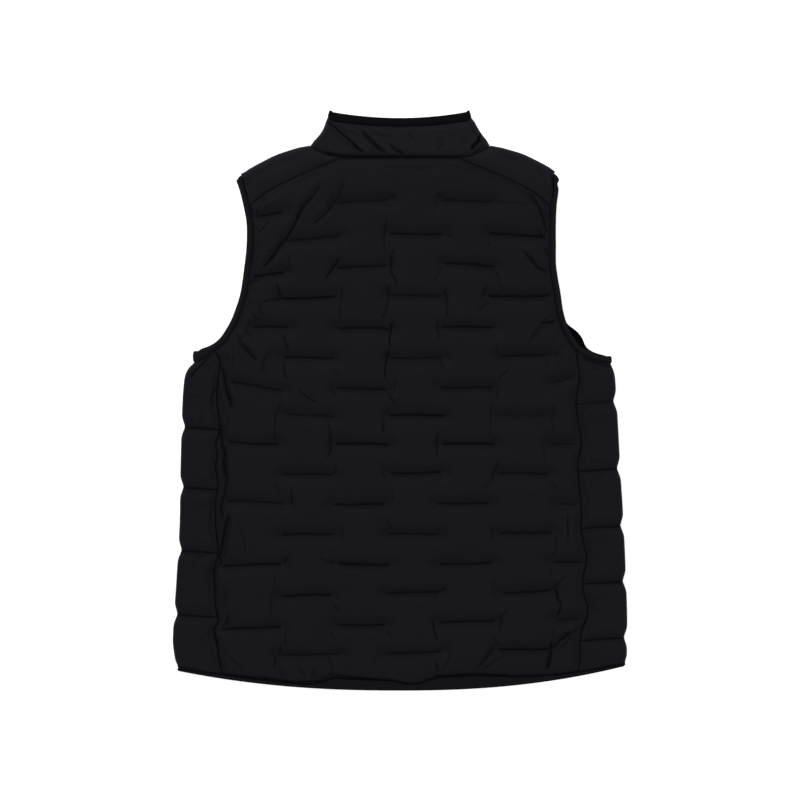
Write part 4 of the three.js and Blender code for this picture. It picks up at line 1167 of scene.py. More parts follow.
@dataclass
class Piece:
    """What every piece of the vest shares."""

    wardrobe: Wardrobe

    def finish_piece(self, obj: Object, material: Material, slot: Slot, *nodes: str) -> None:
        """Gives a piece its material and ties it to the frame.

        Args:
            obj: The piece.
            material: Its finish.
            slot: Not used.
            nodes: The nodes that it stands for.
        """
        obj.data.materials.clear()
        obj.data.materials.append(material)
        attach(obj, BODY)
        if nodes:
            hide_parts(*nodes)
        log.info("%s: %d faces", obj.name, len(obj.data.polygons))

    def shell(self, name: str, points: ndarray, faces: list, corners: ndarray) -> Object:
        """Makes a closed shell whose skin is rounded and whose edges are kept.

        Args:
            name: The piece's name.
            points: Its points.
            faces: The corners of each face.
            corners: Which points lie on its edges.

        Returns:
            The new object.
        """
        obj = mesh_object(name, points, faces)
        face_outwards(obj)
        keep_corners(obj, corners)
        modifier = obj.modifiers.new("Rounding", "SUBSURF")
        modifier.levels = modifier.render_levels = 1
        bpy.ops.object.modifier_apply(modifier=modifier.name)
        return obj

    def wall(self, name: str, stations: Stations, outer: ndarray | None = None) -> Object:
        """Makes a closed, rounded wall from a grid and, where it is padded, its blown up outside."""
        points, faces = stations.closed(stations.outer() if outer is None else outer)
        points[:, 2] = np.maximum(points[:, 2], 0.0)
        return self.shell(name, points, faces, stations.corners())

    def sink(
        self, obj: Object, edge: ndarray, drawn: list, seam: float = 0.75, under: bool = False
    ) -> None:
        """Draws the fine lines of the sewing and the creases into a padded skin, and paints shade along
        them and along the sewn edge.

        Args:
            obj: The piece, already subdivided.
            edge: The sewn edge in plan, as closely spaced points.
            drawn: For each set of marks its depth, its width and how dark its painted shade is.
            seam: How dark the painted shade along the sewn edge is.
            under: Whether the skin is the side that lies on the table.
        """
        points = read_points(obj)
        skin = points[:, 2] < PARTING - 1.0 if under else points[:, 2] > PARTING + 1.0
        rim = nearest(points, edge)
        # Painted shade along the sewn edge, where the valley between the puffs would be in shade.
        shade = seam * np.exp(-((rim / 1.4) ** 2)) * (under | (points[:, 2] > PARTING - 2.0))
        sunk = np.zeros(len(points))
        for marks, depth, width, dark in drawn:
            away, power = marks.reach(points)
            sunk += depth * power * np.exp(-((away / width) ** 2))
            # Painted shade along each set of marks, as dark as its strength.
            drawn_in = dark * power * np.exp(-((away / (0.67 * width)) ** 2))
            shade = np.maximum(shade, drawn_in * (skin | marks.through))
        sunk *= rim > 1.5
        level = points[:, 2]
        moved = np.minimum(level + sunk, PRESSED_MOST) if under else np.maximum(level - sunk, SUNK_LOWEST)
        points[:, 2] = np.where(skin, moved, level)
        write_points(obj, points, shade)


def quilt_lines(pitch: float) -> list:
    """The stitched lines of the fronts, row by row.

    Args:
        pitch: How far apart their points are.

    Returns:
        The lines.
    """
    lines = []
    for k, row in enumerate(QUILT_ROWS):
        for c, (x0, x1) in enumerate(zip(QUILT_EDGES, QUILT_EDGES[1:])):
            if c % 2 != k % 2:
                continue
            wander = 1.4 * math.sin(2.3 * k + 1.7 * c)
            a, b = x0 + 4.5 + wander, x1 - 4.5 + 1.2 * math.cos(1.3 * k + 2.1 * c)
            share = np.linspace(0, 1, 25)
            xs = lerp(a, b, share)
            tilt = 0.006 + 0.010 * smooth((-60 - row) / 200) + 0.006 * math.sin(1.9 * k + c)
            ys = row + tilt * (xs - 0.5 * (a + b)) + 1.1 * math.sin(k * 1.1 + c) * np.sin(np.pi * share)
            lines.append(resample(np.stack([xs, ys], axis=1), pitch))
    return lines


def clipped(lines: list, outline: ndarray, margin: float) -> list:
    """The parts of lines that lie inside an outline, clear of its edge."""
    return clipped_rows(lines, [1.0] * len(lines), outline, margin)[0]


def clipped_rows(lines: list, strengths: list, outline: ndarray, margin: float) -> tuple:
    """The parts of lines inside an outline, clear of its edge, and their strengths."""
    parts, powers = [], []
    for line, strength in zip(lines, strengths):
        good = inside(line, outline) & (nearest(line, outline) > margin)
        if good.sum() >= 4:
            parts.append(line[good])
            powers.append(strength)
    return parts, powers


@dataclass
class BackPanel(Piece):
    """The quilted back, blown up between its stitched lines over a plain flat inside."""

    pitch: float = 4.0
    top: float = BACK_PUFF
    foot: float = -362.0
    clear: float = 2.6
    rise_over: float = 15.0
    top_ease: float = 4.0
    below_line: float = 3.4

    def outline(self) -> ndarray:
        """The panel's edge, round from the neck's left end."""
        halves = []
        for side in Side:
            plan = PLANS[side]
            armhole = plan.part(plan.armhole, YOKE_JUNCTION, SIDE_JUNCTION)
            levels = np.linspace(SIDE_JUNCTION, self.foot, 240)
            seam = np.stack([plan.sewn_at(levels), levels], axis=1)
            seam[0] = plan.side_junction
            line = np.concatenate([plan.yoke_back(), armhole[1:], seam[1:]])
            line = beside(resample(line, 1.0), -0.35)
            low = line[:, 0] * side.sign
            keep = line[:, 1] > hem_edge(low) + hem_shown(low) - 0.4
            halves.append(resample(plan.to_plan(line[keep]), 0.7 * self.pitch))
        left, right = halves
        xs = np.linspace(left[-1, 0], right[-1, 0], int((right[-1, 0] - left[-1, 0]) / self.pitch))
        hem = np.stack([xs, hem_edge(xs) + hem_shown(xs) - 0.5], axis=1)
        neck = resample(np.array([right[0], left[0]]), self.pitch) + np.array([0.0, 0.5])
        return np.concatenate([left[:-1], hem, right[::-1][1:], neck[1:-1]])

    def build(self) -> None:
        """Makes the panel."""
        outline = self.outline()
        edge = closed_run(outline, SEAM_PITCH)
        sewn = Marks.drawn(DASHES, self.pitch, 1.2, 5.0)
        creased = Marks.drawn(CREASES, self.pitch, 2.0, 7.0)
        # A faint crease below each stitched line: drawn in a little and painted with shade, like a fold's
        # shadow.
        below = [line - np.array([0.0, self.below_line]) for line in sewn.lines]
        self.lines, powers = clipped_rows(sewn.lines, sewn.strengths, outline, self.clear)
        beside_sewn, beside_creased = (m.parallels(NET_BESIDE, self.pitch) for m in (sewn, creased))
        extra = [*beside_sewn, *creased.lines, *beside_creased]
        cloth = ClothMesh(outline, self.lines, self.pitch, clipped(extra, outline, 2.5))
        rim = nearest(cloth.points, edge)
        stitch, _ = sewn.reach(cloth.points)
        near = np.minimum(rim, stitch)
        held = np.zeros(len(cloth.points))
        held[cloth.rim] = 1.0
        held[cloth.stitched] = 1.0
        noise = value_noise(cloth.points, 70, 3)
        rise = smooth(near / self.rise_over) * (0.9 + 0.1 * noise)
        start = PARTING + SEAM_THICK + self.top * 0.5 * rise
        points = np.column_stack([cloth.points, start])
        filling = Filling(pressure=5.0, slack=(0.0, 0.028), bending=2.5, frames=22)
        filled = filling.inflate("back_panel", points, cloth.faces, held, 110, 11)
        heights = filled[:, 2] - trough_depth(filled, BACK_FOLDS) * smooth(near / 8)
        relief = 0.55 * value_noise(filled, 17, 51) + 0.35 * value_noise(filled, 9, 52)
        heights += relief * smooth(near / 9) * smooth(0.5 + 0.5 * value_noise(filled, 60, 53))
        low = PARTING + SEAM_THICK - 0.6
        limit = PARTING + self.top + 1.5
        over = heights - limit + self.top_ease
        eased = limit - self.top_ease * np.exp(-over / self.top_ease)
        heights = np.maximum(np.where(over > 0, eased, heights), low)
        moved = cloth.points + np.clip(filled[:, :2] - cloth.points, -3, 3)
        panel = self.shell("quilted_back", *cloth.closed(heights, PARTING + LAYER_GAP / 2, moved))
        puckers = Marks.drawn(PUCKERS, self.pitch, 1.6, 8.0)
        # Painted shadow under the panel's edge where it overhangs the hem band, with no depth.
        painted_overhang_shadow = Marks.drawn(PAINTED_HEM_SHADOW, self.pitch, 0.0, 3.0)
        # Painted shade along the side seams and the neck seam, with no depth: the shade of the valleys
        # between the puffs.
        seams = Marks([plan.to_plan(plan.seam_run) for plan in PLANS.values()], [1.0, 0.75], 6.0)
        neck = Marks([resample(np.array([[-88.0, 314.5], [88.0, 314.5]]), self.pitch)], [1.0], 10.0)
        # Each entry gives marks, depth, width and how dark the painted shade is: stitched lines, creases
        # and puckers are real grooves with painted shade in them.
        self.sink(panel, edge, [
            (sewn, 1.6, 1.5, 1.0), (creased, 1.9, 1.4, 0.95),
            (Marks(below, sewn.strengths, 16.0), 0.5, 1.2, 0.3), (puckers, 1.5, 1.9, 1.0),
            (painted_overhang_shadow, 0.0, 1.9, 1.0), (neck, 0.0, 2.4, 1.0),
            (seams, 0.0, 1.8, 0.95),
        ])
        self.levels = [PARTING + SEAM_THICK - 1.45 * power for power in powers]
        self.finish_piece(panel, self.wardrobe.shell, Slot.SHELL, "back_panel")


@dataclass
class FrontPanel(Piece):
    """One front, pressed flat where it lies on the table."""

    side: Side = Side.LEFT
    pitch: float = 4.8

    def outline(self) -> ndarray:
        """The panel's edge, as distance from the middle."""
        plan = PLANS[self.side]
        armhole = plan.part(plan.armhole_front, YOKE_JUNCTION, SIDE_JUNCTION)
        armhole[0] = plan.junction
        levels = np.linspace(SIDE_JUNCTION, -335, 100)
        seam = np.stack([plan.side_at(levels), levels], axis=1)
        yoke = np.array([FRONT_YOKE_END, plan.junction])
        line = np.concatenate([plan.neck_front(), yoke[1:], armhole[1:], seam[1:]])
        line = beside(resample(line, 2.0), -0.5)
        xs = np.linspace(line[-1, 0], ZIP_CHANNEL, 40)
        hem = np.stack([xs, hem_edge(xs * self.side.sign) + HEM_BAND_WIDTH + 0.3], axis=1)
        edge = np.array([hem[-1], [ZIP_CHANNEL, FRONT_NECK_LOW - 0.3]])
        loop = np.concatenate([line, hem[1:], resample(edge, self.pitch)[1:-1]])
        return closed_run(loop, self.pitch)[:-1]

    def build(self) -> None:
        """Makes the panel."""
        plan = PLANS[self.side]
        outline = plan.to_plan(self.outline())
        edge = closed_run(outline, SEAM_PITCH)
        lines = clipped(quilt_lines(4.0), outline, 5.0)
        sewn = Marks(lines, [0.9] * len(lines), 5.0)
        creased = Marks(*clipped_rows(*drawn_lines(CREASES[::3], self.pitch, 2.0), outline, 4.0), 7.0)
        beside_lines = [*sewn.parallels(NET_BESIDE, self.pitch), *creased.lines]
        cloth = ClothMesh(outline, lines, self.pitch, clipped(beside_lines, outline, 2.5))
        rim, (stitch, _) = nearest(cloth.points, edge), sewn.reach(cloth.points)
        self.lines = lines
        levels = 3.9 * np.exp(-((stitch / 6.5) ** 2)) + 5.5 * np.exp(-((rim / 7.0) ** 2))
        near = np.exp(-((np.minimum(rim, stitch) / 14) ** 2))
        levels += 0.5 * (1 + value_noise(cloth.points, 40, 8)) * near
        closed = cloth.closed(np.minimum(levels, 5.8), PARTING - LAYER_GAP / 2)
        panel = self.shell(f"front_{self.side.value}", *closed)
        # Grooves with painted shade along the stitched lines and creases, and painted shade along the sewn
        # edge.
        self.sink(panel, edge, [(sewn, 1.3, 1.5, 0.95), (creased, 1.4, 1.5, 0.8)], 0.75, under=True)
        self.finish_piece(panel, self.wardrobe.shell, Slot.SHELL, f"front_panel_{self.side.value}")


@dataclass
class Stations:
    """A grid of places on a wall of cloth that lies on the parting level or folds round an edge."""

    plan: ndarray
    facing: ndarray
    thick: ndarray
    ring: bool = False

    @property
    def index(self) -> ndarray:
        """Each place's number."""
        return np.arange(self.thick.size).reshape(self.thick.shape)

    def lifted(self, distance: float | ndarray) -> ndarray:
        """The points at a distance from the parting level, column by column."""
        base = np.concatenate([self.plan, np.full((*self.thick.shape, 1), PARTING)], axis=2)
        return (base + self.facing * distance).reshape(-1, 3)

    def outer(self) -> ndarray:
        """The outside's points."""
        return self.lifted(self.thick[..., None])

    def held(self) -> ndarray:
        """How firmly each place is sewn down: the edges are, and the rest is loose."""
        held = np.zeros(self.thick.shape)
        held[0] = held[-1] = held[:, 0] = held[:, -1] = 1
        return held

    def skin(self) -> ndarray:
        """The faces of the outside."""
        index = self.index
        ahead = np.roll(index, -1, axis=0) if self.ring else index[1:]
        here = index if self.ring else index[:-1]
        quads = np.stack([here[:, :-1], ahead[:, :-1], ahead[:, 1:], here[:, 1:]], axis=2)
        return quads.reshape(-1, 4)

    def corners(self) -> ndarray:
        """Which points of the closed wall lie on its edges."""
        index = self.index
        edge = np.concatenate([index[:, 0], index[:, -1], *([] if self.ring else [index[0], index[-1]])])
        return np.concatenate([edge, edge + index.size])

    def edge_line(self, *sides: str) -> ndarray:
        """The plan of some of the back's edges, as closely spaced points."""
        up = self.facing[:, 0, 2] > -0.2
        named = {"first": self.plan[0], "start": self.plan[up, 0], "end": self.plan[up, -1]}
        return np.concatenate([resample(named[side], SEAM_PITCH) for side in sides])

    def closed(self, outer: ndarray) -> tuple:
        """The closed wall between an outside and the parting level.

        Args:
            outer: The outside's points.

        Returns:
            The points and the faces.
        """
        index, faces = self.index, self.skin().tolist()
        start = index.size
        faces += [[start + v for v in reversed(face)] for face in faces]
        sides = [(index[:, 0], 1), (index[:, -1], -1)]
        if not self.ring:
            sides += [(index[0], -1), (index[-1], 1)]
        for line, way in sides:
            line = [*line, line[0]] if self.ring else list(line)
            for pair in zip(line, line[1:]):
                a, b = pair[::way]
                faces.append([b, a, a + start, b + start])
        return np.concatenate([outer, self.lifted(LAYER_GAP / 2)]), faces


def facing_grid(columns: int, rows: int, up: float = 1.0) -> ndarray:
    """A grid of directions that all point straight up or down."""
    grid = np.zeros((columns, rows, 3))
    grid[..., 2] = up
    return grid


def turn_facing(outward: ndarray, count: int) -> tuple:
    """The directions round a fold, from the back layer to the front one.

    Args:
        outward: The way out in plan, one row for each place along the fold.
        count: How many columns turn.

    Returns:
        The directions and each column's share of the turn.
    """
    shares = np.arange(1, count + 1) / (count + 1)
    angle = np.pi * shares
    way = outward / np.linalg.norm(outward, axis=1, keepdims=True)
    facing = np.zeros((count, len(outward), 3))
    facing[..., :2] = way[None] * np.sin(angle)[:, None, None]
    facing[..., 2] = np.cos(angle)[:, None]
    return facing, shares


@dataclass
class SidePanel(Piece):
    """A side panel that wraps the vest's edge, with its quilting running across."""

    side: Side = Side.LEFT
    across: int = 22
    turn: int = 11
    pitch: float = 3.0
    tilt: float = 4.0
    head_row: float = 50.0
    foot_row: float = -335.0
    line_gap: float = 1.3
    rise_over: float = 16.0
    head_fade: float = 26.0
    foot_fade: float = 12.0

    def stations(self) -> Stations:
        """The panel's grid of places."""
        plan, sign, name = PLANS[self.side], self.side.sign, self.side.value
        rows_up = SIDE_QUILT[name]
        shares = np.linspace(0, 1, self.across)

        def column(armhole: ndarray, share: float, back: bool) -> ndarray:
            """One column's places, at a share of the way from the seam to the fold."""
            seam_at = plan.sewn_at if back else plan.side_at
            top = plan.part(armhole, SIDE_JUNCTION, armhole[-1, 1] + 0.01)
            x = lerp(top[0, 0], top[-1, 0], share)
            top_y = float(np.interp(x, top[:, 0], top[:, 1])) + 0.5
            fold_low = plan.hem_fold + 1.0
            low_x = lerp(float(seam_at(-350.0)), fold_low, share)
            band = float(hem_shown(low_x * sign)) if back else plan.band_front(low_x) + 0.8 * (1 - share)
            low_y = float(hem_edge(low_x * sign)) + band - 0.5
            stops = [top_y, *rows_up, low_y]
            ys = []
            for k, (a, b) in enumerate(zip(stops, stops[1:])):
                start, end = [self.head_row, *rows_up][k], [*rows_up, self.foot_row][k]
                steps = max(4, int(round((start - end) / self.pitch)))
                ys.append(np.concatenate([[a], np.linspace(a - self.line_gap, b + self.line_gap, steps)]))
            ys = np.concatenate([*ys, [low_y]])
            fold_x = plan.edge_at(ys) - PARTING - 0.8
            near_low = smooth((ys - low_y) / 14)
            fold_x = lerp(np.minimum(fold_low, fold_x + 3), fold_x, near_low)
            xs = lerp(seam_at(ys), fold_x, share)
            near_top = lerp(1.0, smooth((top_y - ys) / lerp(22, 8, share)), smooth(share / 0.4))
            xs = lerp(x, xs, near_top) - (0.8 if back else 0.35) * (1 - share)
            ys[0] = float(np.interp(xs[0], top[:, 0], top[:, 1])) + 0.6
            drop = smooth((top_y - ys) / 40) * smooth((ys - low_y) / 40)
            ys = ys - self.tilt * (1 - share) * drop
            return np.stack([xs * sign, ys], axis=1)

        back = np.stack([column(plan.armhole, s, True) for s in shares])
        front = np.stack([column(plan.armhole_front, s, False) for s in shares[::-1]])
        rows = back.shape[1]
        outward = np.tile([sign, 0.0], (rows, 1))
        turned, turn_shares = turn_facing(outward, self.turn)
        fold = np.repeat(back[-1:], self.turn, axis=0)
        grid = np.concatenate([back, fold, front])
        facing = np.concatenate([facing_grid(len(back), rows), turned, facing_grid(len(front), rows, -1)])
        tilted = np.concatenate([1 - shares, np.zeros(self.turn), 1 - shares[::-1]])
        ys = grid[..., 1] + self.tilt * tilted[:, None]
        quilt = np.min(np.abs(ys[..., None] - np.array(rows_up)), axis=2)
        top_gap = back[0, :, 1].max() - 8
        foot = hem_edge(grid[..., 0]) + hem_shown(grid[..., 0])
        ends = smooth((top_gap - ys) / self.head_fade) * smooth((ys - foot) / self.foot_fade)
        lift = (0.1 + 0.9 * smooth(quilt / self.rise_over) ** 0.7) * ends
        seam = smooth(shares / 0.28)[:, None]
        puff = ((SIDE_PUFF - 3.5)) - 1.0
        high = lerp(SEAM_THICK + 0.8, lerp(SEAM_THICK, puff, seam), lift[: len(back)])
        turned_thick = lerp(high[-1][None], PARTING, turn_shares[:, None])
        drawn_in = 2.6 * (1 - lift[len(back) : len(back) + self.turn])
        turned_thick -= drawn_in * np.sin(np.pi * turn_shares)[:, None]
        thick = np.concatenate([high, turned_thick, np.full((len(front), rows), PARTING)])
        self.quilt_gap = quilt
        return Stations(grid, facing, thick)

    def build(self) -> None:
        """Makes the panel."""
        name, stations = self.side.value, self.stations()
        held = stations.held()
        held[self.quilt_gap < 0.6] = 1
        held[-self.across + 3 :] = 1
        outer, faces = stations.outer(), stations.skin()
        if self.side is Side.LEFT:
            faces = faces[:, ::-1]
        filling = Filling(pressure=5.0, slack=(0.0, 0.02), bending=2.0, frames=20)
        outer = filling.inflate(f"side_{name}", outer, faces, held.reshape(-1), 60, 21)
        outer[:, 2] = np.clip(outer[:, 2], 0.0, PARTING + SIDE_PUFF + 1.5)
        reach = float(np.abs(CAD_BOUNDS[1][0] / MM)) + 4
        outer[:, 0] = np.clip(outer[:, 0], -reach, reach)
        panel = self.wall(f"quilted_side_{name}", stations, outer)
        plan, rows_up = PLANS[self.side], np.array(SIDE_QUILT[name], float)
        low = np.stack([plan.sewn_at(rows_up), rows_up - self.tilt], axis=1)
        high = np.stack([plan.edge_at(rows_up) + 9.0, rows_up], axis=1)
        sewn = [resample(plan.to_plan(np.array([a, b])), 2.0) for a, b in zip(low, high)]
        creased = Marks.drawn(SIDE_CREASES, self.pitch, 1.5, 7.0)
        every = [0.6 if self.side is Side.RIGHT and k == 0 else 1.0 for k in range(len(sewn))]
        # Painted shadow under the panel's edge where it overhangs the hem band, with no depth.
        painted_overhang_shadow = Marks.drawn(PAINTED_HEM_SHADOW, self.pitch, 0.0, 3.0)
        # Stitched lines and creases are grooves with painted shade in them; a wide soft painted shade lies
        # round each stitched line, and the overhang and the seam get painted shadow and shade with no
        # depth.
        drawn = [
            (Marks(sewn, every, 1.0, True), 1.2, 1.5, 0.9),
            (Marks(sewn, every, 14.0, True), 0.5, 6.0, 0.28),
            (creased, 1.7, 1.7, 0.9), (painted_overhang_shadow, 0.0, 1.7, 0.9),
            (Marks([plan.to_plan(plan.seam_run)], [0.9], 6.0), 0.0, 1.6, 0.95),
        ]
        self.sink(panel, stations.edge_line("first", "start", "end"), drawn)
        self.finish_piece(panel, self.wardrobe.shell, Slot.SHELL, f"side_panel_{name}")


def filled_patch(first: ndarray, last: ndarray, start: ndarray, end: ndarray) -> ndarray:
    """A grid that fills four edges.

    Args:
        first: The edge at the first row of places, from start to end.
        last: The edge at the last row of places.
        start: The edge that joins their first points.
        end: The edge that joins their last points.

    Returns:
        The grid, one column for each place along the first edge.
    """
    u = np.linspace(0, 1, len(first))[:, None, None]
    v = np.linspace(0, 1, len(start))[None, :, None]
    ruled = lerp(first[:, None], last[:, None], v)
    crossed = lerp(start[None], end[None], u)
    corners = lerp(lerp(first[0], last[0], v), lerp(first[-1], last[-1], v), u)
    return ruled + crossed - corners


@dataclass
class ShoulderYoke(Piece):
    """A plain padded yoke that folds over the shoulder."""

    side: Side = Side.LEFT
    across: int = 22
    along: int = 64
    turn: int = 11

    def stations(self) -> Stations:
        """The yoke's grid of places."""
        plan, sign = PLANS[self.side], self.side.sign
        inset = PARTING + 0.5
        shoulder = spline(SHOULDER_EDGE[self.side.value], 601)
        knots = [np.array(NECK_POINT)]
        for i in range(1, 6):
            knots.append(shoulder[int(round((1 - i / 6) * 600))] - np.array([0.45, 0.89]) * inset)
        knots.append(plan.armhole[0])
        fold = spline(np.array(knots), self.along)
        neck = resample(plan.neck_back(), count=self.across)
        tip_line = plan.part(plan.armhole, plan.armhole[0, 1] - 0.01, YOKE_JUNCTION)[::-1]
        tip = resample(tip_line, count=self.across)
        tip[:, 0] += 0.3
        seam = resample(plan.yoke_back(), count=self.along)
        seam_front = resample(np.array([FRONT_YOKE_END, plan.junction]), count=self.along)
        neck_front = resample(np.array([FRONT_YOKE_END, NECK_POINT]), count=self.across)
        fold[0], fold[-1] = neck[-1], tip[-1]
        seam[0], seam[-1] = neck[0], tip[0]
        seam_front[-1] = tip[0]
        back = filled_patch(neck, tip, seam, fold)
        front = filled_patch(neck_front, tip, seam_front, fold)[::-1]
        share = np.linspace(0, 1, self.along)
        outward = np.stack([lerp(0.8, 0.45, np.minimum(1, 3 * share)), lerp(0.6, 0.89, share)], axis=1)
        turned, shares = turn_facing(outward, self.turn)
        turned[..., 0] *= sign
        grid = np.concatenate([back, np.repeat(back[-1:], self.turn, axis=0), front])
        grid[..., 0] *= sign
        rows = self.along
        flat = facing_grid(self.across, rows)
        facing = np.concatenate([flat, turned, -flat])
        cross = np.linspace(0, 1, self.across)[:, None]
        ends = smooth(np.minimum(share, 1 - share) * 7)[None]
        rise = np.sin(np.clip(cross * 1.5, 0, 1) * np.pi / 2) * lerp(0.5, 1, ends)
        high = lerp(SEAM_THICK, YOKE_PUFF, rise)
        turned_thick = lerp(high[-1][None], PARTING, shares[:, None])
        thick = np.concatenate([high, turned_thick, np.full((self.across, rows), PARTING)])
        return Stations(grid, facing, thick)

    def build(self) -> None:
        """Makes the yoke."""
        name, stations = self.side.value, self.stations()
        held = stations.held()
        held[-self.across + 2 :] = 1
        outer, faces = stations.outer(), stations.skin()
        if self.side is Side.LEFT:
            faces = faces[:, ::-1]
        filling = Filling(pressure=1.5, slack=(0.0, 0.012), bending=4.0, frames=16)
        outer = filling.inflate(f"yoke_{name}", outer, faces, held.reshape(-1), 50, 31)
        outer[:, 2] = np.clip(outer[:, 2], 0.0, PARTING + YOKE_PUFF + 4)
        yoke = self.wall(f"yoke_{name}", stations, outer)
        creased = Marks.drawn(YOKE_CREASES, 2.0, 1.5, 7.0)
        # Creases drawn in with painted shade in them, and painted shade along the sewn edges.
        self.sink(yoke, stations.edge_line("first", "start", "end"), [(creased, 1.1, 1.6, 0.6)], 0.6)
        self.finish_piece(yoke, self.wardrobe.yoke, Slot.SHELL, f"shoulder_yoke_{name}")


@dataclass
class CollarHalf:
    """The feet and heads of the collar on one side, from the fold inwards."""

    side: Side
    back_count: int = 84
    front_count: int = 44

    def back_head(self, share: ndarray) -> ndarray:
        """The back's top seam at a share of the way from the middle to the fold."""
        out = COLLAR_HEAD[self.side.value]
        rise = COLLAR_BACK_DIP - COLLAR_BAND_WIDTH + COLLAR_RISE * np.asarray(share) ** 2
        return np.stack([out * np.asarray(share), rise], axis=-1)

    def back(self) -> tuple:
        """The back's feet and heads, from the fold to the middle."""
        plan = PLANS[self.side]
        line = np.concatenate([plan.neck_back()[::-1], [[0.0, NECK_JUNCTION[1]]]])
        feet = resample(line, count=self.back_count)
        return feet, self.back_head(feet[:, 0] / NECK_POINT[0])

    def front(self) -> tuple:
        """The front's feet and heads, from the zip to the fold."""
        plan = PLANS[self.side]
        coarse = np.concatenate([
            resample(plan.neck_front(), count=7),
            resample(np.array([FRONT_YOKE_END, NECK_POINT]), count=5)[1:],
        ])
        at = np.linspace(0, len(coarse) - 1, self.front_count)
        feet = np.stack([np.interp(at, np.arange(len(coarse)), coarse[:, k]) for k in range(2)], axis=1)
        share = at / (len(coarse) - 1)
        top = self.back_head(1.0)
        heads = np.stack([
            lerp(ZIP_CHANNEL, top[0], share),
            lerp(COLLAR_FRONT_TOP - COLLAR_BAND_WIDTH, top[1], share**1.6),
        ], axis=1)
        return feet, heads


def folded_half(side: Side, back: list, front: list, way: tuple, turn: int) -> list:
    """One half's columns, from the back's middle over the fold to the front's middle.

    Args:
        side: Which half it is. The left one is given the other way round.
        back: The plans of the back's columns, from the middle out.
        front: The plans of the front's columns, from the fold in.
        way: The way out at the fold.
        turn: How many columns the fold takes.

    Returns:
        Each column's plan, its directions and its share of the turn.
    """
    count = len(back[0])
    face, shares = turn_facing(np.tile([way[0] * side.sign, way[1]], (count, 1)), turn)
    block = [(plan, facing_grid(1, count)[0], 0.0) for plan in back]
    block += [(back[-1], face[i], float(shares[i])) for i in range(turn)]
    block += [(plan, facing_grid(1, count, -1)[0], 1.0) for plan in front]
    return block[:0:-1] if side is Side.LEFT else block


def joined(columns: list) -> tuple:
    """The plan grid, the directions and the shares of the turn of a list of columns."""
    plans, facings, turned = zip(*columns)
    return np.stack(plans), np.stack(facings), np.array(turned)


def round_the_neck(rows: Callable, turn: int) -> tuple:
    """Columns from the front's left end, over the folds and the back, to its right end.

    Args:
        rows: Gives the plan of one column from its side, foot, head and whether it is the fold.
        turn: How many columns each fold takes.

    Returns:
        The plan grid, the directions and the share of the turn of each column.
    """
    columns = []
    for side in Side:
        half = CollarHalf(side)
        feet, heads = half.back()
        back = [rows(side, f, h, i == 0) for i, (f, h) in enumerate(zip(feet, heads))][::-1]
        feet, heads = half.front()
        last = len(feet) - 1
        front = [rows(side, f, h, i == last) for i, (f, h) in enumerate(zip(feet, heads))][::-1]
        columns += folded_half(side, back, front, (0.8, 0.6), turn)
    return joined(columns)


@dataclass
class Collar(Piece):
    """The padded stand-up collar, lying folded, with its drag creases."""

    rows: int = 30
    turn: int = 9

    def build(self) -> None:
        """Makes the collar."""
        shares = np.linspace(0, 1, self.rows)

        def column(side: Side, foot: ndarray, head: ndarray, fold: bool) -> ndarray:
            """The places from the foot to the head."""
            along = (head - foot) / np.linalg.norm(head - foot)
            line = lerp(foot - 0.4 * along, head + 0.4 * along, shares[:, None])
            if fold:
                line[:, 0] -= COLLAR_BOW[side.value] * np.sin(np.pi * shares)
            return line * np.array([side.sign, 1.0])

        plan, facing, turned = round_the_neck(column, self.turn)
        edge = smooth(np.minimum(shares, 1 - shares) * 5)[None]
        high = lerp(SEAM_THICK, COLLAR_THICK - 1.5, edge)
        thick = lerp(np.repeat(high, len(plan), axis=0), PARTING, turned[:, None])
        stations = Stations(plan, facing, thick)
        held = stations.held()
        held[turned >= 1.0] = 1
        outer, faces = stations.outer(), stations.skin()[:, ::-1]
        filling = Filling(pressure=2.0, slack=(0.0, 0.02), bending=2.5, frames=16)
        outer = filling.inflate("collar", outer, faces, held.reshape(-1), 40, 41)
        back = (turned[:, None] < 0.5) & (held < 0.5)
        outer[:, 2] -= trough_depth(outer, COLLAR_FOLDS) * back.reshape(-1)
        outer[:, 2] = np.clip(outer[:, 2], 0.0, PARTING + COLLAR_THICK + 3)
        collar = self.wall("padded_collar", stations, outer)
        creased = Marks.drawn(COLLAR_CREASES, 2.0, 1.5, 6.0)
        seam = np.array([[-100.0, 321.5], [-84.0, 318.0], [-70.0, 316.0], [88.0, 315.4]])
        neck = Marks([resample(seam, 2.0)], [1.0], 8.0)
        # Creases drawn in with painted shade in them, and painted shade with no depth along the neck seam.
        drawn = [(creased, 1.5, 1.7, 1.0), (neck, 0.0, 3.2, 1.0)]
        self.sink(collar, stations.edge_line("start", "end"), drawn, 1.0)
        self.finish_piece(collar, self.wardrobe.yoke, Slot.SHELL, "collar")


BAND_PROFILE = [(0.0, 0.5), (0.1, 0.84), (0.28, 0.97), (0.5, 1.0), (0.72, 0.96), (0.9, 0.8), (1.0, 0.42)]
BAND_SHARES = np.array([share for share, _ in BAND_PROFILE])


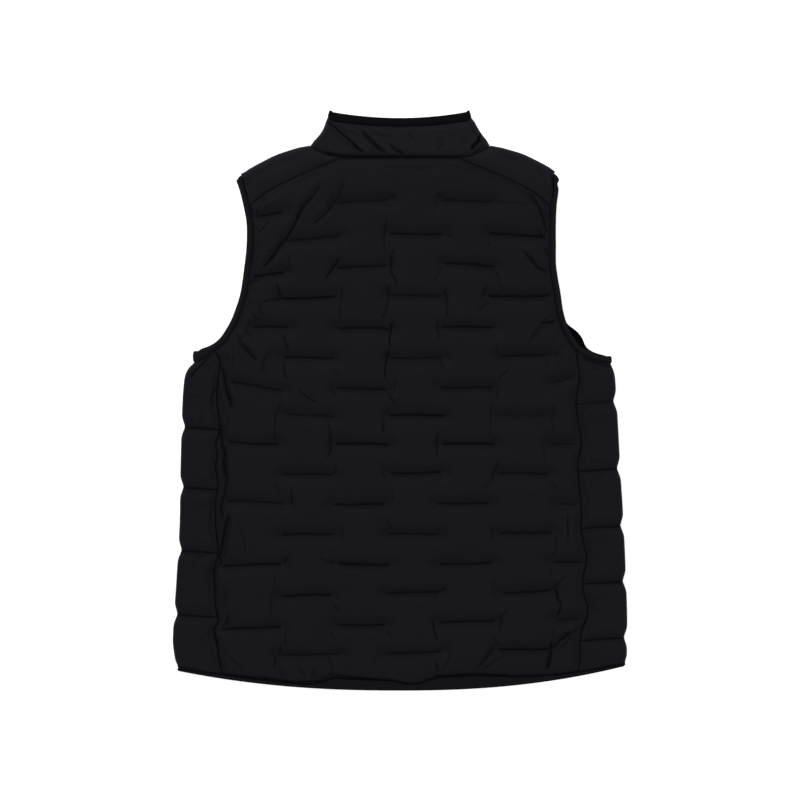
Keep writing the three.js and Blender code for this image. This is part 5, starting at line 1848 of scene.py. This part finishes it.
@dataclass
class Binding(Piece):
    """What the narrow turned bindings share: a soft section and gathers along it."""

    gather: float = 0.35
    gather_pitch: float = 9.0

    def sew(self, stations: Stations, turned: ndarray, row: int) -> None:
        """Keeps where the stitches that hold the binding run, along one row of its grid."""
        outer = stations.outer().reshape(*stations.thick.shape, 3)
        self.sewn = outer[turned < 0.02, row] + np.array([0.0, 0.0, 0.12])

    def section(self, plan: ndarray, turned: ndarray, front: float) -> ndarray:
        """How far out the binding's outside lies at each place.

        Args:
            plan: The grid of places.
            turned: Each column's share of the turn to the front layer.
            front: How far out the front layer's outside lies.

        Returns:
            The distances, on the same grid.
        """
        profile = np.array([height for _, height in BAND_PROFILE])[None]
        run = np.concatenate([[0], np.cumsum(np.linalg.norm(np.diff(plan[:, 3], axis=0), axis=1))])
        wave = np.sin(2 * np.pi * run / self.gather_pitch + 2.2 * np.sin(run / 31.0))
        wave *= 0.6 + 0.4 * np.sin(run / 47.0 + 1.0)
        across = np.sin(np.pi * np.linspace(0.12, 0.95, len(BAND_PROFILE)))[None]
        back = BAND_THICK * profile + self.gather * wave[:, None] * across
        flat = front * np.where(profile < 0.7, 0.9, 1.0)
        return lerp(back, flat, turned[:, None])

    def shade_inside(self, obj: Object, top: float = 0.0) -> None:
        """Paints shade on the side that faces the other layer, and a painted shadow on the edge tucked
        under the panel.

        Args:
            obj: The binding.
            top: How far the painted shadow reaches down from the panel, in millimetres.
        """
        points = read_points(obj)
        # Painted shade on the inside faces, between the two layers.
        shade = np.where(np.abs(points[:, 2] - PARTING) < 0.4, 0.85, 0.0)
        if top:
            # Painted shadow along the top of the hem band, under the panel's overhanging edge.
            sewn = hem_edge(points[:, 0]) + hem_shown(points[:, 0])
            line = np.exp(-(((sewn - points[:, 1]) / top) ** 2)) * (points[:, 2] > PARTING)
            shade = np.maximum(shade, line)
        write_points(obj, points, shade)


@dataclass
class ArmholeBinding(Binding):
    """The binding round one armhole, folded at the shoulder and under the arm."""

    side: Side = Side.LEFT
    turn: int = 7
    count: int = 110

    def build(self) -> None:
        """Makes the binding."""
        plan, sign, name = PLANS[self.side], self.side.sign, self.side.value

        def near(places: int) -> ndarray:
            """How near each place is to the line's start, over some places."""
            return smooth(1 - np.arange(self.count) / places)[:, None]

        def edges(line: ndarray) -> tuple:
            """The binding's inner and outer edges."""
            inner = resample(line, count=self.count)
            outer = beside(inner, -ARMHOLE_BAND_WIDTH)
            outer += (inner[0] + np.array([7.0, -8.0]) - outer[0]) * near(7)
            outer[:, 1:] += (PIT_RISE[name] - ARMHOLE_BAND_WIDTH) * near(14)[::-1]
            outer += (inner[-1] + np.array([0.0, PIT_RISE[name]]) - outer[-1]) * near(6)[::-1]
            return inner, outer

        def column(inner: ndarray, outer: ndarray) -> ndarray:
            """The places across the binding."""
            return lerp(inner, outer, BAND_SHARES[:, None]) * np.array([sign, 1.0])

        back_in, back_out = edges(plan.armhole)
        front_in, front_out = edges(plan.armhole_front)
        back = [column(a, b) for a, b in zip(back_in, back_out)]
        front = [column(a, b) for a, b in zip(front_in, front_out)]
        count = len(BAND_SHARES)
        pit, pit_share = turn_facing(np.tile([sign, 0.0], (count, 1)), self.turn)
        tip, tip_share = turn_facing(np.tile([0.45 * sign, 0.89], (count, 1)), self.turn)
        grid = np.stack([*back, *[back[-1]] * self.turn, *reversed(front), *[back[0]] * self.turn])
        facing = np.concatenate([
            facing_grid(len(back), count), pit, facing_grid(len(front), count, -1), tip[::-1],
        ])
        turned = np.concatenate([np.zeros(len(back)), pit_share, np.ones(len(front)), tip_share[::-1]])
        thick = self.section(grid, turned, PARTING)
        stations = Stations(grid, facing, thick, ring=True)
        self.sew(stations, turned, 2)
        binding = self.wall(f"armhole_edge_{name}", stations)
        self.shade_inside(binding)
        self.finish_piece(binding, self.wardrobe.binding, Slot.BINDING, f"armhole_binding_{name}")


@dataclass
class CollarBinding(Binding):
    """The binding along the collar's top edge."""

    turn: int = 7

    def build(self) -> None:
        """Makes the binding."""

        def column(side: Side, foot: ndarray, head: ndarray, fold: bool) -> ndarray:
            """The places from the foot to the head."""
            along = (head - foot) / np.linalg.norm(head - foot)
            lean = 0.6 * np.sign(along[0]) if abs(along[0]) > 0.6 else along[0]
            reach = 0.15 + (COLLAR_BAND_WIDTH - 0.15) * BAND_SHARES
            line = head + np.stack([lean * 0.5 * reach, reach], axis=1)
            return line * np.array([side.sign, 1.0])

        plan, facing, turned = round_the_neck(column, self.turn)
        stations = Stations(plan, facing, self.section(plan, turned, PARTING - 1))
        self.sew(stations, turned, 1)
        binding = self.wall("collar_edge", stations)
        self.shade_inside(binding)
        self.finish_piece(binding, self.wardrobe.dark_binding, Slot.BINDING, "collar_binding")


@dataclass
class HemBand(Binding):
    """The band round the hem, gathered a little by its elastic."""

    turn: int = 7
    count: int = 110

    def build(self) -> None:
        """Makes the band."""
        columns = []
        for side in Side:
            plan, sign = PLANS[side], side.sign

            def column(out: float, back: bool = True, sign: float = sign, plan: SeamPlan = plan) -> ndarray:
                """The places across the band, at a distance from the middle."""
                foot = float(hem_edge(out * sign))
                wander = 0.8 * math.sin(out * 0.045 + sign) + 0.5 * math.sin(out * 0.11 + 2 * sign)
                inner = (float(hem_shown(out * sign)) if back else plan.band_front(out)) - 0.1
                ys = foot + inner * BAND_SHARES[::-1]
                ys = ys + wander * np.sin(np.pi * BAND_SHARES) * 0.3
                return np.stack([np.full(len(BAND_SHARES), out * sign), ys], axis=1)

            back = [column(out) for out in np.linspace(0, plan.hem_fold, self.count)]
            outs = np.linspace(plan.hem_fold, ZIP_CHANNEL, self.count)
            front = [column(out, i == 0) for i, out in enumerate(outs)]
            columns += folded_half(side, back, front, (1.0, 0.0), self.turn)
        grid, facing, turned = joined(columns)
        thick = self.section(grid, turned, PARTING)
        swing = np.sin(np.pi * turned)[:, None]
        thick = thick * (1 - 0.62 * swing * np.linspace(0, 1, len(BAND_SHARES))[None] ** 1.5)
        stations = Stations(grid, facing, thick)
        self.sew(stations, turned, 1)
        band = self.wall("hem_edge", stations)
        # Painted shade inside, and a painted shadow under the overhanging panels.
        self.shade_inside(band, 1.3)
        self.finish_piece(band, self.wardrobe.hem_binding, Slot.BINDING, "hem_band")


@dataclass
class Stitching(Piece):
    """Rows of stitches as small thread beads along the quilted and sewn lines."""

    stitch: float = 2.7
    pitch: float = 3.6
    radius: float = 0.3

    def beads(self, lines: list) -> tuple:
        """Points and faces of one bead for each stitch along lines in three dimensions."""
        bead = np.array([
            (self.stitch * place, 1.15 * self.radius * wide * math.cos(a), self.radius * wide * math.sin(a))
            for place, wide in ((-0.5, 0.35), (-0.3, 0.9), (0.3, 0.9), (0.5, 0.35))
            for a in (0.0, math.pi / 2, math.pi, 1.5 * math.pi)
        ])
        quads = [(4 * k, i, (i + 1) % 4) for k in range(3) for i in range(4)]
        skin = [[a + i, a + j, a + j + 4, a + i + 4] for a, i, j in quads]
        skin = np.array([*skin, [3, 2, 1, 0], [12, 13, 14, 15]])
        points, faces = [], []
        for line in lines:
            spaced = resample(line, self.pitch)
            along = np.gradient(spaced, axis=0)
            along /= np.linalg.norm(along, axis=1, keepdims=True) + 1e-9
            for centre, way in zip(spaced, along):
                aside = np.array([-way[1], way[0], 0.0])
                aside /= np.linalg.norm(aside) + 1e-9
                faces += (skin + len(bead) * len(points)).tolist()
                points.append(centre + bead @ np.array([way, aside, np.cross(way, aside)]))
        return np.concatenate(points), faces

    def build(self, name: str, lines: list) -> None:
        """Makes one joined piece of stitches.

        Args:
            name: The piece's name.
            lines: The sewn lines, in three dimensions.
        """
        points, faces = self.beads(lines)
        beads = mesh_object(name, points, faces)
        face_outwards(beads)
        self.finish_piece(beads, self.wardrobe.thread, Slot.BINDING)


@dataclass
class Zip(Piece):
    """The closed zip in its channel: teeth, tapes, box, slider and pull."""

    low: float = -357.0
    high: float = 294.2
    level: float = 5.7
    tooth: tuple = (3.0, 1.35, 1.7)
    tooth_bevel: float = 0.3
    tooth_squeeze: float = 0.82
    tooth_aside: float = 0.95
    tooth_pitch: float = 2.4
    first_tooth: float = 1.2
    tape_rows: int = 320
    tape_rib: float = 0.06

    def build_teeth(self) -> None:
        """Makes the row of closed teeth."""
        deselect_all()
        bpy.ops.mesh.primitive_cube_add(size=1)
        model = bpy.context.active_object
        for vertex in model.data.vertices:
            vertex.co = [edge * size * MM for edge, size in zip(vertex.co, self.tooth)]
        bpy.ops.object.mode_set(mode="EDIT")
        bpy.ops.mesh.select_all(action="SELECT")
        bpy.ops.mesh.bevel(offset=self.tooth_bevel * MM, segments=1, affect="EDGES")
        bpy.ops.object.mode_set(mode="OBJECT")
        shape = np.array([v.co[:] for v in model.data.vertices]) / MM
        skin = [list(p.vertices) for p in model.data.polygons]
        bpy.data.meshes.remove(model.data)
        shape[:, 1] *= self.tooth_squeeze
        steps = np.arange(int((self.high - self.low - 2) / (self.tooth_pitch / 2)))
        ys = self.low + self.first_tooth + steps * self.tooth_pitch / 2
        asides = np.where(steps % 2, self.tooth_aside, -self.tooth_aside)
        centres = np.stack([asides, ys, np.full(len(steps), self.level)], axis=1)
        points = (shape + centres[:, None]).reshape(-1, 3)
        faces = [[v + len(shape) * int(i) for v in face] for i in steps for face in skin]
        teeth = mesh_object("zip_teeth", points, faces)
        self.finish_piece(teeth, self.wardrobe.teeth, Slot.CHAIN, "zip_chain")

    def build_tapes(self) -> None:
        """Makes the two woven tapes, each with a corded edge beside the teeth."""
        section = [
            (2.3, 0.45), (2.6, 0.75), (3.1, 0.75), (3.5, 0.42), (4.6, 0.38), (5.8, 0.38), (7.0, 0.36),
        ]
        ys = np.linspace(self.low + 1, self.high - 1, self.tape_rows)
        points, faces = [], []
        for side in Side:
            loop = [(x, high) for x, high in section] + [(x, -high) for x, high in reversed(section)]
            start, count = len(points), len(loop)
            for k, y in enumerate(ys):
                rib = self.tape_rib if k % 2 else 0.0
                for x, high in loop:
                    points.append((x * side.sign, y, self.level - 0.1 + high + math.copysign(rib, high)))
            for k in range(len(ys) - 1):
                for i in range(count):
                    a, b = start + k * count + i, start + k * count + (i + 1) % count
                    faces.append([a, b, b + count, a + count])
            faces.append(list(range(start, start + count)))
            faces.append(list(range(start + (len(ys) - 1) * count, start + len(ys) * count)))
        tapes = mesh_object("zip_tapes", np.array(points), faces)
        face_outwards(tapes)
        self.finish_piece(tapes, self.wardrobe.tape, Slot.TAPE, "zip_tape_left", "zip_tape_right")

    def dress_nodes(self) -> None:
        """Gives the zip's hard solids their finish."""
        for node in ("zip_box", "zip_slider", "zip_pull"):
            obj = frame["nodes"][node]
            obj.data.materials.clear()
            obj.data.materials.append(self.wardrobe.metal)
            log.info("%s: dressed", node)


# Studio


@dataclass
class Studio:
    """The pale table, the soft lights and the camera above."""

    distance: float = 3.2
    framed: float = 1.04
    white: float = 0.9
    table_size: float = 14.0
    table_level: float = -0.0004
    table_glow: float = 0.55
    sky: float = 0.6
    lamp_size: float = 1.6

    def table(self) -> None:
        """Makes the white surface."""
        deselect_all()
        bpy.ops.mesh.primitive_plane_add(size=self.table_size, location=(0, 0, self.table_level))
        table = bpy.context.active_object
        table.name = "white_table"
        material = bpy.data.materials.new("white_table")
        material.use_nodes = True
        shader = material.node_tree.nodes["Principled BSDF"]
        shader.inputs["Base Color"].default_value = (self.white, self.white, self.white, 1)
        shader.inputs["Roughness"].default_value = 0.9
        shader.inputs["Specular IOR Level"].default_value = 0.0
        shader.inputs["Emission Color"].default_value = (1, 1, 1, 1)
        shader.inputs["Emission Strength"].default_value = self.table_glow
        table.data.materials.append(material)
        table.select_set(False)

    def light(self, name: str, place_at: tuple, power: float) -> None:
        """Adds one soft light that looks at the vest.

        Args:
            name: Its name.
            place_at: Where it stands, in metres.
            power: Its power, in watts.
        """
        data = bpy.data.lights.new(name, "AREA")
        data.shape = "SQUARE"
        data.size = self.lamp_size
        data.energy = power
        obj = bpy.data.objects.new(name, data)
        obj.location = place_at
        obj.rotation_mode = "QUATERNION"
        obj.rotation_quaternion = (-Vector(place_at)).to_track_quat("-Z", "Y")
        bpy.context.scene.collection.objects.link(obj)

    def build(self) -> None:
        """Sets the whole studio up."""
        self.table()
        self.light("key", (-1.2, 2.2, 2.0), 44.0)
        self.light("fill", (2.2, 0.6, 1.9), 16.0)
        self.light("low", (-0.6, -2.4, 1.9), 16.0)
        world = bpy.data.worlds.new("studio")
        world.use_nodes = True
        colour, strength = world.node_tree.nodes["Background"].inputs[:2]
        colour.default_value = (1, 1, 1, 1)
        strength.default_value = self.sky
        scene = bpy.context.scene
        scene.world = world
        data = bpy.data.cameras.new("above")
        data.sensor_width = 36.0
        data.lens = 36.0 * self.distance / self.framed
        data.clip_end = 50
        camera = bpy.data.objects.new("above", data)
        camera.location = (0, 0, self.distance)
        scene.collection.objects.link(camera)
        scene.camera = camera
        scene.view_settings.view_transform = "Standard"
        scene.view_settings.look = "None"


def main() -> None:
    """Builds every piece in order."""
    wardrobe = Wardrobe()
    back = BackPanel(wardrobe)
    back.build()
    edges, under = [], []
    for side in Side:
        SidePanel(wardrobe, side=side).build()
        ShoulderYoke(wardrobe, side=side).build()
        front = FrontPanel(wardrobe, side=side)
        front.build()
        under += [at_height(line, FRONT_STITCH_LEVEL) for line in front.lines]
        binding = ArmholeBinding(wardrobe, side=side)
        binding.build()
        edges.append(binding.sewn)
    Collar(wardrobe).build()
    for binding in (CollarBinding(wardrobe), HemBand(wardrobe)):
        binding.build()
        edges.append(binding.sewn)
    quilted = [at_height(line, level) for line, level in zip(back.lines, back.levels)]
    Stitching(wardrobe).build("quilting_stitches", quilted)
    Stitching(wardrobe).build("front_stitches", under)
    Stitching(wardrobe).build("edge_stitches", edges)
    zip_parts = Zip(wardrobe)
    zip_parts.build_teeth()
    zip_parts.build_tapes()
    zip_parts.dress_nodes()
    Studio().build()


if __name__ == "__main__":
    main()
